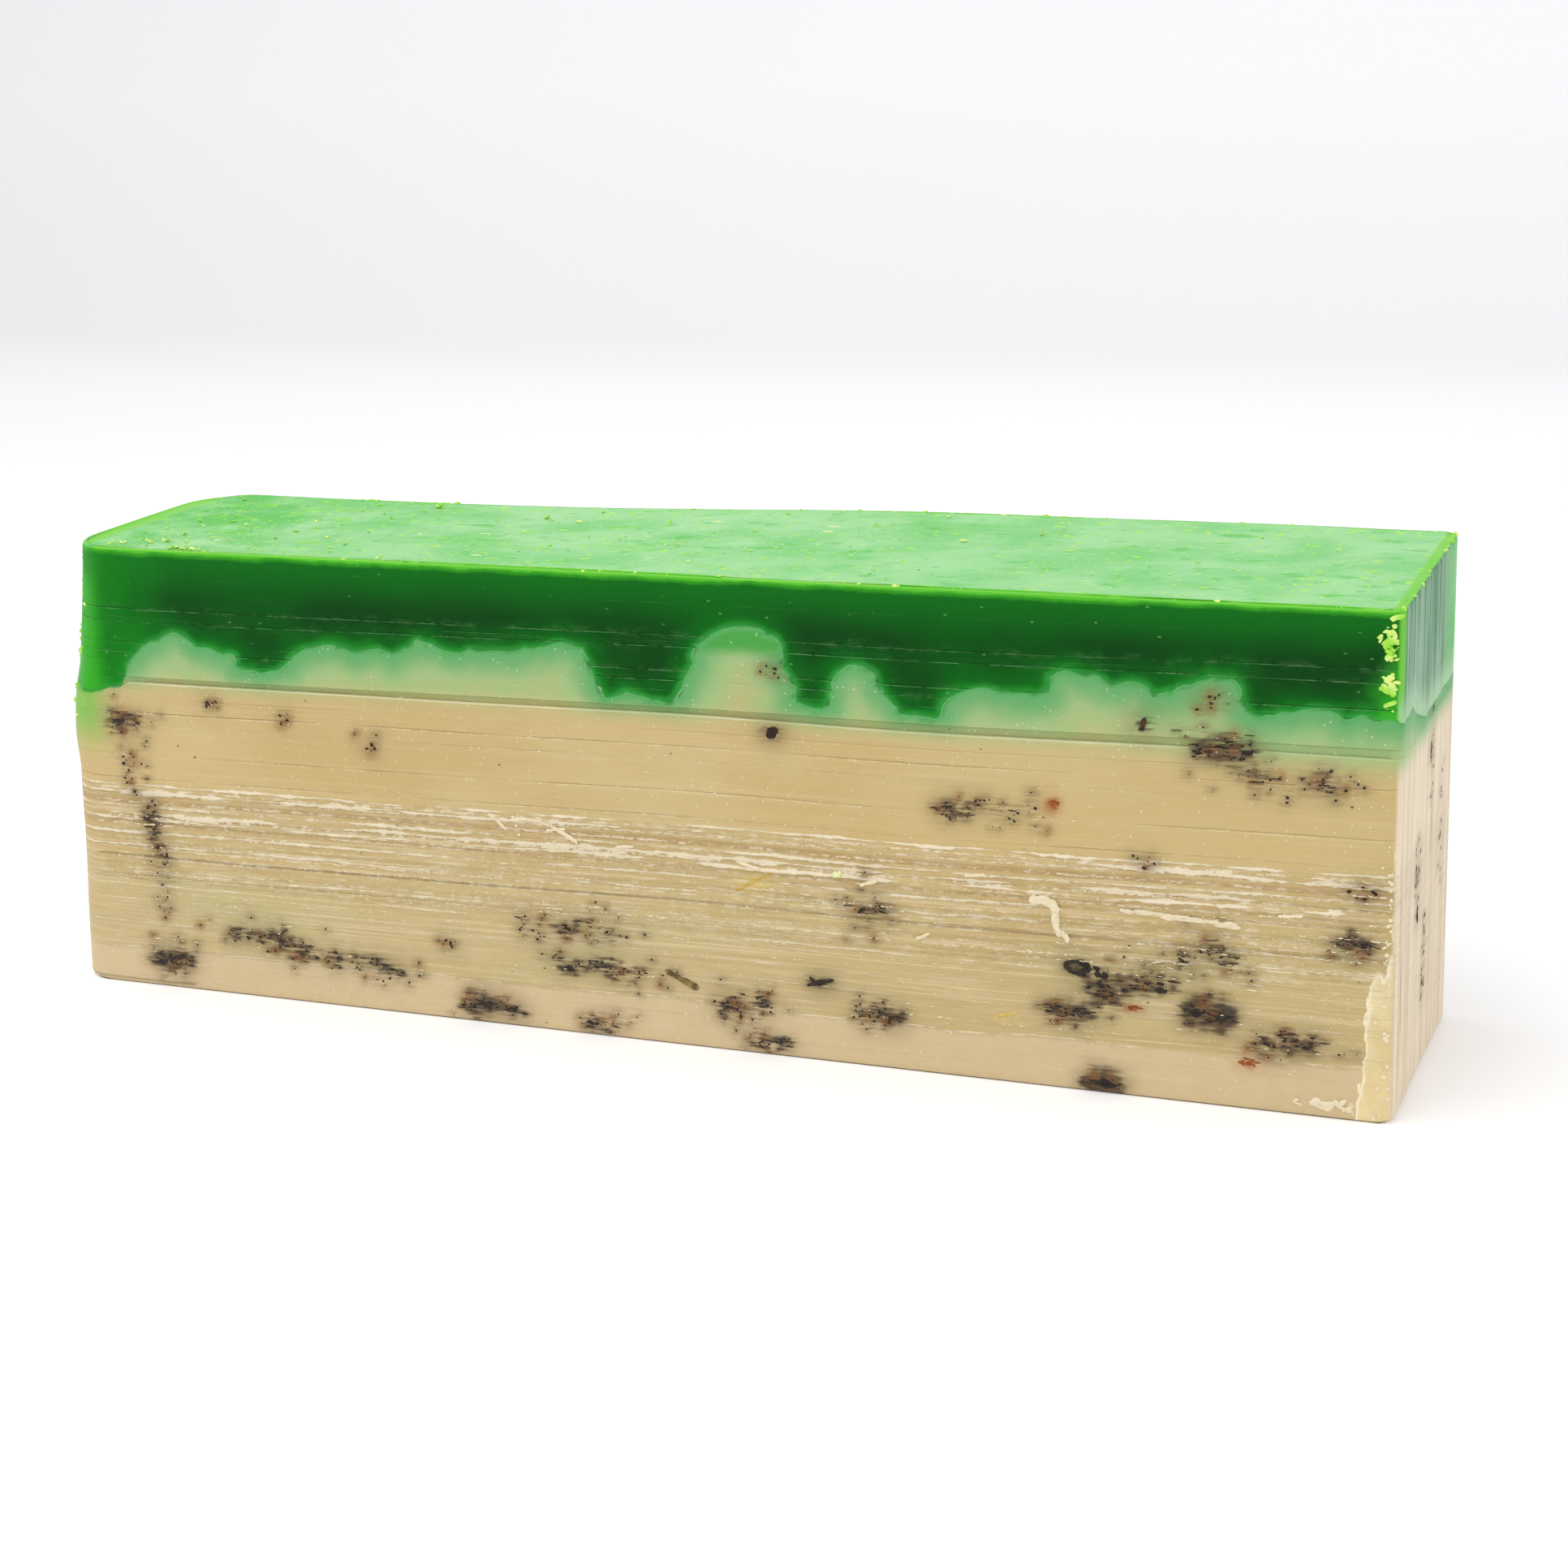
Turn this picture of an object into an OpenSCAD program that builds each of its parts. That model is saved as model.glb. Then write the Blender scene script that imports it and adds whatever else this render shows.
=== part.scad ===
// A hand-made soap loaf as it comes out of the mould and off the planer: a cream base pour full of
// dried leaf, and a clear green pour set on its lumpy top. The front and back faces are planed flat.
// The origin is the middle of the base. X runs along the loaf, Y to its back and Z up.

/* [Loaf] */
// Length of the loaf at its base
loaf_length = 264; // [240:1:300]
// Depth from the planed front to the planed back
loaf_depth = 56; // [50:1:64]
// Height from the base to the top
loaf_height = 90; // [86:1:100]
// How far the left end leans in from base to top, from the mould's draft
end_draft = 3; // [0:0.5:6]

/* [Corners] */
// Radius of the moulded left corners at the base
left_corner_base = 7; // [4:0.5:12]
// Radius of the moulded left corners at the top
left_corner_top = 12; // [4:0.5:14]
// Radius of the cut right corners
right_corner = 2; // [1:0.5:4]

/* [Pour line] */
// Height of the cream between its lumps
cream_level = 66.5; // [64:0.5:68]
// Height of the cream at the low left end
cream_level_left = 61; // [58:0.5:64]

/* [Dried leaf] */
// How deep a flake sits below the planed face
flake_depth = 1.2; // [0.6:0.1:2]
// Length of a common flake
flake_length = 2.6; // [1.6:0.1:3]

/* [Hidden] */
front_y = -loaf_depth / 2;
end_x = loaf_length / 2;
cut_clearance = 1;

// Columns and rows of the net that both pours are built on
columns = 96;
rows = 12;

// Lumps of cream that stand up into the green: [x, y, half length, half depth, top height]
LUMPS = [
    [-106.5, -27, 7.8, 13, 73.6], [-99, -26, 9.5, 12, 70.4], [-71, -25, 8, 12, 73.4], [-62, -26, 9, 10, 72.6],
    [-51, -25, 9, 12, 74.2], [-40, -26, 8.5, 11, 73.6], [-29, -24, 9, 12, 75],
    [-21, -26, 6.5, 10, 75.6], [6, -26, 4.2, 8, 74.5], [14.5, -26, 10.5, 13, 81.4],
    [37, -26, 6.4, 7, 75], [59, -25, 5, 6, 73.4], [68, -24, 7, 9, 72.6],
    [78, -26, 7, 10, 76.8], [87.5, -26, 4.5, 7, 75.3], [93, -25, 4, 7, 74],
    [101, -21, 7.5, 9, 79.5], [117, -24, 11, 10, 72.4], [127, -22, 8, 12, 72],
    [-112, 4, 9, 11, 68], [-92, 2, 12, 9, 74], [-68, -4, 12, 9, 76], [-44, 6, 13, 8, 72],
    [-20, 2, 12, 10, 78], [6, 6, 12, 9, 73], [28, -2, 12, 9, 76], [52, 5, 13, 9, 74],
    [76, 0, 12, 9, 73], [98, 7, 12, 8, 77], [120, 4, 10, 9, 71],
    [-106, 24, 11, 9, 72], [-82, 25, 12, 10, 75], [-60, 24, 9, 9, 71], [-43, 26, 10, 11, 76.5],
    [-24, 25, 9, 8, 73], [-4, 26, 11, 9, 72], [17, 25, 9, 10, 78], [35, 24, 8, 8, 73],
    [54, 26, 11, 10, 75.5], [76, 24, 10, 8, 72], [95, 26, 9, 9, 76], [114, 25, 10, 9, 73]];

// Groups of dried flakes in a planed face: [name, face, along, height, spread along, spread up, flakes]
CLUMPS = [
    ["leaf_clump_left_high", "front", -118, 56, 8, 4.2, 5],
    ["leaf_chain_left", "front", -117.6, 45, 1.5, 9, 3],
    ["leaf_trail_left", "front", -112.5, 31.5, 5, 13, 5],
    ["leaf_specks_left_peak", "front", -96.5, 60, 5, 1.5, 3],
    ["leaf_specks_left_mid", "front", -81.5, 57.5, 4, 3, 2],
    ["leaf_specks_left_inner", "front", -62.3, 55.5, 6, 4, 4],
    ["leaf_clump_left_corner", "front", -111, 6, 10, 3.5, 4],
    ["leaf_streak_left_low", "front", -88, 12.5, 18, 1.6, 6],
    ["leaf_streak_left_base", "front", -69, 9.5, 20, 3, 6],
    ["leaf_clump_base_left", "front", -41, 4, 12, 2, 5],
    ["leaf_specks_low_left", "front", -49, 16, 4, 1.2, 2],
    ["leaf_streak_mid_left", "front", -22, 21.5, 20, 1.5, 6],
    ["leaf_streak_mid_low", "front", -15.5, 12.8, 20, 1.6, 6],
    ["leaf_clump_base_mid", "front", -16, 2.8, 7, 1.6, 3],
    ["leaf_streak_centre_low", "front", 12.5, 9.8, 12, 1.8, 4],
    ["leaf_clump_base_centre", "front", 17, 2.2, 9, 1.4, 4],
    ["leaf_clump_centre", "front", 36.5, 30, 8, 4.5, 5],
    ["leaf_streak_centre_right", "front", 40, 10, 9, 1.6, 4],
    ["leaf_specks_peak", "front", 21.5, 73, 6, 2.5, 3],
    ["leaf_streak_upper", "front", 58.5, 50.6, 16, 1.6, 5],
    ["leaf_specks_right_mid", "front", 88.6, 44, 4, 1.6, 2],
    ["leaf_clump_right_high", "front", 102, 65.2, 10, 4, 6],
    ["leaf_specks_green", "front", 99.5, 72.6, 5, 1.6, 2],
    ["leaf_streak_right_high", "front", 116.5, 60, 20, 2, 5],
    ["leaf_clump_right", "front", 99.5, 27.6, 11, 4.5, 6],
    ["leaf_clump_right_edge", "front", 124, 32.6, 7.5, 2.4, 4],
    ["leaf_specks_right_edge", "front", 126, 40.5, 5, 3, 3],
    ["leaf_band_right", "front", 85.5, 20.2, 10, 3.6, 5],
    ["leaf_band_right_low", "front", 74.5, 14.8, 9, 1.6, 4],
    ["leaf_clump_right_low", "front", 100.5, 17, 8, 2.4, 4],
    ["leaf_clump_base_right", "front", 114.5, 13, 13, 3, 6],
    ["leaf_clump_base_end", "front", 80.5, 2.3, 6, 1.4, 3],
    ["leaf_streak_end_high", "right", 4, 58, 2.5, 22, 5],
    ["leaf_streak_end_mid", "right", -8, 38, 3, 20, 5],
    ["leaf_streak_end_low", "right", 2, 20, 4, 20, 5],
    ["leaf_streak_end_back", "right", 16, 40, 2.5, 30, 5],
    ["leaf_streak_back_low", "back", -60, 12, 44, 4, 8],
    ["leaf_clump_back_left", "back", 70, 34, 14, 6, 6],
    ["leaf_clump_back_right", "back", -92, 40, 12, 6, 5],
    ["leaf_streak_back_mid", "back", 16, 22, 40, 5, 7]];

OTHERS = [
    "cream_base", "green_top", "leaf_stalk", "single_leaf", "curled_leaf", "round_seed", "upright_seed",
    "rust_petal_large", "rust_petal_small", "rust_petal_high", "yellow_petal", "yellow_strip",
    "cream_curl_right", "cream_curl_mid", "green_crumbs", "pale_crumb", "cream_chips"];

function mix(a, b, t) = a + (b - a) * t;

// How far a corner of radius r pulls the end in, at distance d from the planed face
function corner_inset(d, r) = d < r ? r - sqrt(r * r - (r - d) * (r - d)) : 0;

function corner_insets(y, r) = max(corner_inset(y - front_y, r), corner_inset(-front_y - y, r));

function left_x(y, z) = -end_x + end_draft * z / loaf_height
    + corner_insets(y, mix(left_corner_base, left_corner_top, z / loaf_height));

function right_x(y) = end_x - corner_insets(y, right_corner);

function net_y(j) = front_y * cos(180 * j / rows);

function net_x(i, j, z) = mix(left_x(net_y(j), z), right_x(net_y(j)), i / columns);

// A lump is the upper half of an ellipsoid that stands on the cream's level
function lump(x, y, level, p) =
    let (d = pow((x - p[0]) / p[2], 2) + pow((y - p[1]) / p[3], 2))
    d < 1 ? level + (p[4] - level) * pow(1 - d, 0.4) : level;

function level(x) = mix(cream_level_left, cream_level, min(1, max(0, (x + end_x - 14) / 12)));

function pour_line(x, y) = max([for (p = LUMPS) lump(x, y, level(x), p)]);

// The net's outer loop, counter-clockwise from above, as [column, row]
LOOP = concat(
    [for (i = [0 : columns]) [i, 0]], [for (j = [1 : rows]) [columns, j]],
    [for (i = [columns - 1 : -1 : 0]) [i, rows]], [for (j = [rows - 1 : -1 : 1]) [0, j]]);

function net_index(i, j) = j * (columns + 1) + i;

// A pour: one side is the lumpy net and the other the flat outline at height flat_z
module pour(flat_z, net_on_top) {
    net = [for (j = [0 : rows], i = [0 : columns])
        let (h = pour_line(net_x(i, j, cream_level), net_y(j))) [net_x(i, j, h), net_y(j), h]];
    flat = [for (q = LOOP) [net_x(q[0], q[1], flat_z), net_y(q[1]), flat_z]];
    first = len(net);
    count = len(LOOP);
    net_faces = [for (j = [0 : rows - 1], i = [0 : columns - 1])
        let (a = net_index(i, j), b = net_index(i + 1, j), c = net_index(i + 1, j + 1), d = net_index(i, j + 1))
        each [[a, d, c], [a, c, b]]];
    walls = [for (k = [0 : count - 1])
        let (n = (k + 1) % count, p = net_index(LOOP[k][0], LOOP[k][1]), q = net_index(LOOP[n][0], LOOP[n][1]))
        each [[first + k, p, q], [first + k, q, first + n]]];
    flat_face = [[for (k = [0 : count - 1]) first + k]];
    faces = concat(net_faces, walls, flat_face);
    polyhedron(
        concat(net, flat),
        net_on_top ? faces : [for (f = faces) [for (k = [len(f) - 1 : -1 : 0]) f[k]]], 10);
}

// Turns a shape made against the front face to lie in another face
module on_face(face) {
    if (face == "front") children();
    if (face == "back") rotate([0, 0, 180]) children();
    if (face == "right") translate([end_x + front_y, 0, 0]) rotate([0, 0, 90]) children();
}

// A flat bit let into the front face; extra is how far it stands out of the face
module inlay(x, z, turn, depth, extra) {
    translate([x, front_y + depth, z]) rotate([90, 0, 0]) rotate([0, 0, turn])
        linear_extrude(depth + extra) children();
}

// A torn flake: a long strip and a shorter, wider one turned across it, blended
module flake_outline(length, width) {
    hull() {
        square([length, width * 0.45], center = true);
        translate([length * 0.06, 0]) rotate(24) square([length * 0.6, width * 0.8], center = true);
    }
}

// One clump: flakes in a row along its longer spread, so that none lies on the next
module clump(c, extra) {
    tall = c[5] > c[4];
    n = c[6];
    seed = c[2] * 7 + c[3];
    jitter = rands(-0.5, 0.5, n * 3, seed);
    pitch = max(c[4], c[5]) / n;
    long = min(flake_length, pitch * 0.82);
    on_face(c[1]) for (k = [0 : n - 1]) {
        step = (k - (n - 1) / 2) * pitch;
        x = c[2] + (tall ? jitter[k] * c[4] : step);
        z = c[3] + (tall ? step : jitter[k] * c[5]);
        inlay(x, z, (tall ? 90 : 0) + jitter[n + k] * 16, flake_depth, extra)
            flake_outline(long, long * (0.5 + 0.3 * jitter[2 * n + k]));
    }
}

module clump_pockets() {
    for (c = CLUMPS) clump(c, cut_clearance);
}

// Single bits, each drawn once for the bit and once for its pocket

// A leaf's outline: two arcs that meet in points, with the given length
module leaf_outline(length, width) {
    r = (length * length / 4 + width * width / 4) / width;
    intersection() {
        translate([0, r - width / 2]) circle(r, $fn = 64);
        translate([0, width / 2 - r]) circle(r, $fn = 64);
    }
}

module stalk_bit(extra) {
    inlay(0.2, 13.2, -26, flake_depth, extra) square([8, 0.8], center = true);
}

module single_leaf_bit(extra) { inlay(28, 15.4, 14, flake_depth, extra) leaf_outline(5, 1.7); }

module curled_leaf_bit(extra) {
    inlay(76.4, 23.2, 0, flake_depth, extra) difference() {
        circle(1.8, $fn = 32);
        circle(1.1, $fn = 32);
    }
}

module round_seed_bit() { translate([20.2, front_y, 62.1]) sphere(1.6, $fn = 32); }

module upright_seed_bit(extra) { inlay(88.3, 68.1, 84, flake_depth, extra) leaf_outline(3.4, 1.3); }

module rust_large_bit(extra) { inlay(107, 9, 8, flake_depth, extra) leaf_outline(6, 2.4); }

module rust_small_bit(extra) { inlay(86.6, 16.6, 0, flake_depth, extra) leaf_outline(3.2, 1.4); }

module rust_high_bit(extra) { inlay(72.2, 52.9, 70, flake_depth, extra) leaf_outline(4, 1.8); }

module yellow_petal_bit(extra) { inlay(63.4, 13, 20, flake_depth, extra) leaf_outline(4.4, 1.5); }

module yellow_strip_bit(extra) {
    inlay(15.6, 33.6, 28, flake_depth, extra) square([8, 0.8], center = true);
}

module single_pockets() {
    stalk_bit(cut_clearance);
    single_leaf_bit(cut_clearance);
    curled_leaf_bit(cut_clearance);
    round_seed_bit();
    upright_seed_bit(cut_clearance);
    rust_large_bit(cut_clearance);
    rust_small_bit(cut_clearance);
    rust_high_bit(cut_clearance);
    yellow_petal_bit(cut_clearance);
    yellow_strip_bit(cut_clearance);
}

module cream_base() {
    color([0.86, 0.77, 0.6]) difference() {
        pour(0, true);
        clump_pockets();
        single_pockets();
    }
}

// Only the flakes near the pour line reach the green
module green_top() {
    color([0.05, 0.45, 0.12]) difference() {
        pour(loaf_height, false);
        for (c = CLUMPS) if (c[1] == "front" && c[3] > 60) clump(c, cut_clearance);
        upright_seed_bit(cut_clearance);
    }
}

module leaf_stalk() { color([0.16, 0.1, 0.04]) stalk_bit(0); }

module single_leaf() { color([0.12, 0.1, 0.05]) single_leaf_bit(0); }

module curled_leaf() { color([0.3, 0.25, 0.14]) curled_leaf_bit(0); }

module round_seed() {
    color([0.13, 0.07, 0.03]) intersection() {
        round_seed_bit();
        translate([20.2 - 3, front_y, 62.1 - 3]) cube(6);
    }
}

module upright_seed() { color([0.2, 0.1, 0.05]) upright_seed_bit(0); }

module rust_petal_large() { color([0.55, 0.18, 0.03]) rust_large_bit(0); }

module rust_petal_small() { color([0.5, 0.2, 0.04]) rust_small_bit(0); }

module rust_petal_high() { color([0.45, 0.22, 0.06]) rust_high_bit(0); }

module yellow_petal() { color([0.8, 0.66, 0.15]) yellow_petal_bit(0); }

module yellow_strip() { color([0.78, 0.6, 0.2]) yellow_strip_bit(0); }

// A shaving that the planer curled up and left on the face, as an open ring
module curl(x, z, radius, sweep, turn) {
    translate([x, front_y, z]) rotate([90, 0, 0]) rotate([0, 0, turn])
        rotate_extrude(angle = sweep) translate([radius, 0]) square([0.9, 0.7]);
}

module cream_curl_right() {
    color([0.93, 0.87, 0.72]) {
        curl(70, 33.5, 2.6, 150, 10);
        curl(74, 29.4, 1.8, 190, 200);
    }
}

module cream_curl_mid() {
    color([0.94, 0.88, 0.75]) {
        curl(-31, 40.6, 1.8, 170, 100);
        curl(-22.5, 41.8, 2.4, 120, 200);
    }
}

// A crumb is a small block with a smaller one turned on it, stuck down by its flat side
module crumb(size) {
    hull() {
        cube([size, size * 0.8, size * 0.3], center = true);
        translate([0, 0, size * 0.25]) rotate([0, 0, 35])
            cube([size * 0.5, size * 0.4, size * 0.3], center = true);
    }
}

// Rows of crumbs along the top edges, at even steps with a little shift
module green_crumbs() {
    color([0.55, 0.82, 0.2]) {
        crumb_rise = 0.18;
        for (k = [0 : 5]) translate([-100 + k * 42, front_y + 3 + k % 2, loaf_height + crumb_rise])
            crumb(1.2);
        translate([128.5, front_y - crumb_rise, 84]) rotate([90, 0, 0]) crumb(1.2);
    }
}

module pale_crumb() {
    color([0.95, 0.9, 0.78]) translate([32, front_y - 0.3, 36.5]) rotate([90, 0, 0]) crumb(2);
}

// Chips of cream left on the back face, as on the front
module cream_chips() {
    color([0.92, 0.86, 0.72]) for (k = [0 : 3])
        translate([-80 + k * 52, -front_y + 0.3, 36 + 5 * (k % 2)]) rotate([-90, 0, 0]) crumb(2);
}

cream_base();
green_top();
leaf_stalk();
single_leaf();
curled_leaf();
round_seed();
upright_seed();
rust_petal_large();
rust_petal_small();
rust_petal_high();
yellow_petal();
yellow_strip();
cream_curl_right();
cream_curl_mid();
green_crumbs();
pale_crumb();
cream_chips();
for (c = CLUMPS) color([0.15, 0.11, 0.06]) clump(c, 0);
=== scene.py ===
import math

import bmesh
import bpy
import numpy as np
from mathutils import Matrix, Vector
from mathutils.bvhtree import BVHTree
from mathutils.kdtree import KDTree


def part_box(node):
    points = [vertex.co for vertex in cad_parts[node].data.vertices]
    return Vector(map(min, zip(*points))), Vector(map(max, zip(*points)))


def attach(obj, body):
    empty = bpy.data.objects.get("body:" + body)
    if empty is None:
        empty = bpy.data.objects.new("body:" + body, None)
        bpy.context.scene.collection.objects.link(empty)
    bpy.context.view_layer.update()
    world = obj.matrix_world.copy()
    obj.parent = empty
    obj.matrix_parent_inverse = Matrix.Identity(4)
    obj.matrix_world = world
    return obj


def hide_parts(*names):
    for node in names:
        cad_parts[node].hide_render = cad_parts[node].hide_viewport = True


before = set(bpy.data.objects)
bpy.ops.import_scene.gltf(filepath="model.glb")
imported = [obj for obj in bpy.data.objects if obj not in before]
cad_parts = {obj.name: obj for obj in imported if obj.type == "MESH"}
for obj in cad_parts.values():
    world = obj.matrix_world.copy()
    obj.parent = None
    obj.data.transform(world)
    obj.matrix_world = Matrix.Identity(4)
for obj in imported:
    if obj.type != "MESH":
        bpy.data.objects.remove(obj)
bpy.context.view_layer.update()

# ---------------------------------------------------------------------------------------------
# The studio: a white paper sweep under the loaf and behind it, and soft lights above to the left, in
# front and at the right. The camera stands to the right of the loaf and looks slightly down.
MM = 0.001


def srgb(code):
    """A screen colour written as #rrggbb, as the linear colour that shaders use."""
    parts = [int(code[n:n + 2], 16) / 255 for n in (1, 3, 5)]
    return tuple(c / 12.92 if c <= 0.04045 else ((c + 0.055) / 1.055) ** 2.4 for c in parts) + (1.0,)


SWEEP_START, SWEEP_RADIUS, SWEEP_HEIGHT, SWEEP_SIDE = 0.62, 0.5, 2.4, 3.0
turns = np.linspace(0, math.pi / 2, 17)
profile = [(-SWEEP_SIDE, 0.0)]
profile += [(SWEEP_START + SWEEP_RADIUS * math.sin(t), SWEEP_RADIUS * (1 - math.cos(t))) for t in turns]
profile.append((SWEEP_START + SWEEP_RADIUS, SWEEP_HEIGHT))
sweep_verts = [(x, y, z) for y, z in profile for x in (-SWEEP_SIDE, SWEEP_SIDE)]
sweep_faces = [(2 * k, 2 * k + 1, 2 * k + 3, 2 * k + 2) for k in range(len(profile) - 1)]
sweep_mesh = bpy.data.meshes.new("paper_sweep")
sweep_mesh.from_pydata(sweep_verts, [], sweep_faces)
sweep_mesh.shade_smooth()
paper_sweep = bpy.data.objects.new("paper_sweep", sweep_mesh)
bpy.context.collection.objects.link(paper_sweep)
paper = bpy.data.materials.new("white_paper")
paper.use_nodes = True
paper_nodes, paper_links = paper.node_tree.nodes, paper.node_tree.links
paper_shader = paper_nodes["Principled BSDF"]
# The paper is one white, but its colour greys a little up the curve of the sweep: painted shade where less light
# reaches it.
paper_split, paper_painted_shade = (paper_nodes.new("ShaderNode" + kind) for kind in ("SeparateXYZ", "ValToRGB"))
paper_painted_shade.color_ramp.elements.new(0.5)
paper_shade_stops = ((0.002, "#f4f4f5"), (0.02, "#e7e7e8"), (0.13, "#efeff0"))
for stop, (height, shade) in zip(paper_painted_shade.color_ramp.elements, paper_shade_stops):
    stop.position, stop.color = height, srgb(shade)
paper_links.new(paper_nodes.new("ShaderNodeTexCoord").outputs["Object"], paper_split.inputs[0])
paper_links.new(paper_split.outputs["Z"], paper_painted_shade.inputs[0])
paper_links.new(paper_painted_shade.outputs[0], paper_shader.inputs["Base Color"])
for key, value in (("Roughness", 0.9), ("Specular IOR Level", 0.1), ("Emission Color", srgb("#f6f6f8")),
                   ("Emission Strength", 0.13)):
    paper_shader.inputs[key].default_value = value
sweep_mesh.materials.append(paper)

studio = bpy.data.worlds.new("studio")
bpy.context.scene.world = studio
studio.use_nodes = True
studio_air = studio.node_tree.nodes["Background"]
studio_air.inputs["Color"].default_value = srgb("#f3f3f5")
studio_air.inputs["Strength"].default_value = 0.6
for name, place, aim, size, watts in (
        ("softbox_above", (-0.35, -0.25, 1.1), (0, 0, 0.03), 1.0, 7.5),
        ("softbox_front", (-0.1, -1.3, 0.75), (0, 0, 0.05), 0.9, 4.0),
        ("softbox_right", (1.1, -0.1, 0.6), (0.1, 0, 0.04), 0.7, 3.0)):
    lamp = bpy.data.lights.new(name, "AREA")
    lamp.shape, lamp.size, lamp.energy = "SQUARE", size, watts
    holder = bpy.data.objects.new(name, lamp)
    holder.location = place
    holder.rotation_mode = "QUATERNION"
    holder.rotation_quaternion = (Vector(aim) - Vector(place)).to_track_quat("-Z", "Y")
    bpy.context.collection.objects.link(holder)

CAMERA_PLACE = Vector((208.0, -483.0, 195.5)) * MM
YAW, PITCH, ROLL = math.radians(22.2), math.radians(16.2), math.radians(-2.1)
lens = bpy.data.cameras.new("camera")
lens.sensor_width, lens.lens, lens.clip_end = 36.0, 65.5, 50.0
camera = bpy.data.objects.new("camera", lens)
tilted = Matrix.Rotation(math.pi / 2 - PITCH, 4, "X") @ Matrix.Rotation(ROLL, 4, "Z")
camera.matrix_world = Matrix.Translation(CAMERA_PLACE) @ Matrix.Rotation(YAW, 4, "Z") @ tilted
bpy.context.collection.objects.link(camera)
bpy.context.scene.camera = camera
bpy.context.scene.view_settings.view_transform = "Standard"

# ---------------------------------------------------------------------------------------------
# The planed block that both pours share. The loaf was cast in a mould with a little draft and
# round left corners, cut square on the right, and planed on its front and back in level strips.


def box_mm(node):
    """The low and the high corner of a node's box, in millimetres."""
    return [np.array(corner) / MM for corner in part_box(node)]


HALF_LENGTH, HALF_DEPTH = box_mm("cream_base")[1][:2]
HEIGHT = box_mm("green_top")[1][2]
END_DRAFT, FOOT_SWELL, TOP_RISE = 3.0, 3.0, 2.2
LEFT_CORNER_BASE, LEFT_CORNER_TOP, RIGHT_CORNER = 7.0, 12.0, 2.5
EDGE_ROUND, END_ROUND, TOP_ROUND = 1.1, 0.9, 0.7
COLUMNS, ROWS = 236, 22
rng = np.random.default_rng(41)


def smooth(low, high, value):
    t = np.clip((value - low) / (high - low), 0, 1)
    return t * t * (3 - 2 * t)


class Wander:
    """A smooth random line through random heights, one every step millimetres, between -1 and 1."""

    def __init__(self, step, seed):
        self.step = step
        self.knots = np.random.default_rng(seed).uniform(-1, 1, 613)

    def __call__(self, s):
        t = np.asarray(s) / self.step
        k = np.floor(t).astype(int)
        f = t - k
        f = f * f * (3 - 2 * f)
        count = len(self.knots)
        return self.knots[k % count] * (1 - f) + self.knots[(k + 1) % count] * f


def top_rise(x, y, z):
    """How far a point stands above its nominal height: a little, at the top and back of the right end."""
    return TOP_RISE * smooth(-60, 45, x) * np.clip((y + HALF_DEPTH) / (2 * HALF_DEPTH), 0, 1) * smooth(62, 90, z)


def corner_inset(distance, radius):
    """How far a rounded edge draws back at a distance from where the square edge would be."""
    d = np.clip(distance, 0, radius)
    return radius - np.sqrt(radius * radius - (radius - d) ** 2)


def outline(u, y, z):
    """The x of a point at fraction u of the loaf's length, at depth y and height z."""
    radius = LEFT_CORNER_BASE + (LEFT_CORNER_TOP - LEFT_CORNER_BASE) * z / HEIGHT
    left_inset, right_inset = (np.maximum(corner_inset(y + HALF_DEPTH, r), corner_inset(HALF_DEPTH - y, r))
                               for r in (radius, RIGHT_CORNER))
    left = -HALF_LENGTH + END_DRAFT * z / HEIGHT - FOOT_SWELL * smooth(90, 48, z) - 0.8 * smooth(12, 3, abs(z - 55))
    left = left + left_inset
    return left + (HALF_LENGTH - right_inset - left) * u


net_u = np.arange(COLUMNS + 1) / COLUMNS
net_y = -HALF_DEPTH * np.cos(np.pi * np.arange(ROWS + 1) / ROWS)
loop = [(i, 0) for i in range(COLUMNS + 1)] + [(COLUMNS, j) for j in range(1, ROWS + 1)]
loop += [(i, ROWS) for i in range(COLUMNS - 1, -1, -1)] + [(0, j) for j in range(ROWS - 1, 0, -1)]
loop = np.array(loop)
loop_u, loop_y = net_u[loop[:, 0]], net_y[loop[:, 1]]
loop_s = outline(loop_u, loop_y, 40.0)
on_front, on_back = loop[:, 1] == 0, loop[:, 1] == ROWS
on_right, on_left = loop[:, 0] == COLUMNS, loop[:, 0] == 0


def ray_tree(mesh):
    return BVHTree.FromPolygons([v.co.copy() for v in mesh.vertices], [tuple(p.vertices) for p in mesh.polygons])


# The pour line is read off the cream's own solid, then softened and given fine scallops.
cream_solid = ray_tree(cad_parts["cream_base"].data)


def solid_height(x, y):
    inside_x = min(max(x, -HALF_LENGTH + 4.5), HALF_LENGTH - 0.4)
    inside_y = min(max(y, -HALF_DEPTH + 1.6), HALF_DEPTH - 1.6)
    reach_x = max(-HALF_LENGTH + 3.2 + corner_inset(HALF_DEPTH - abs(inside_y), 11.0), inside_x)
    return cream_solid.ray_cast(Vector((reach_x, inside_y, 100.0)) * MM, Vector((0, 0, -1)))[0][2] / MM


scallop, fine_scallop = Wander(5.2, 3), Wander(1.7, 4)
pour_x = outline(net_u[:, None], net_y[None, :], 68.0)
pour_line = np.array([[solid_height(pour_x[i, j], net_y[j]) for j in range(ROWS + 1)] for i in range(COLUMNS + 1)])
pour_line[1:-1] = pour_line[1:-1] * 0.5 + (pour_line[:-2] + pour_line[2:]) * 0.25
pour_line += 1.5 * abs(scallop(pour_x + 3 * net_y[None, :])) - 0.6 + 0.4 * fine_scallop(pour_x - 5 * net_y[None, :])
loop_pour = pour_line[loop[:, 0], loop[:, 1]]

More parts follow.
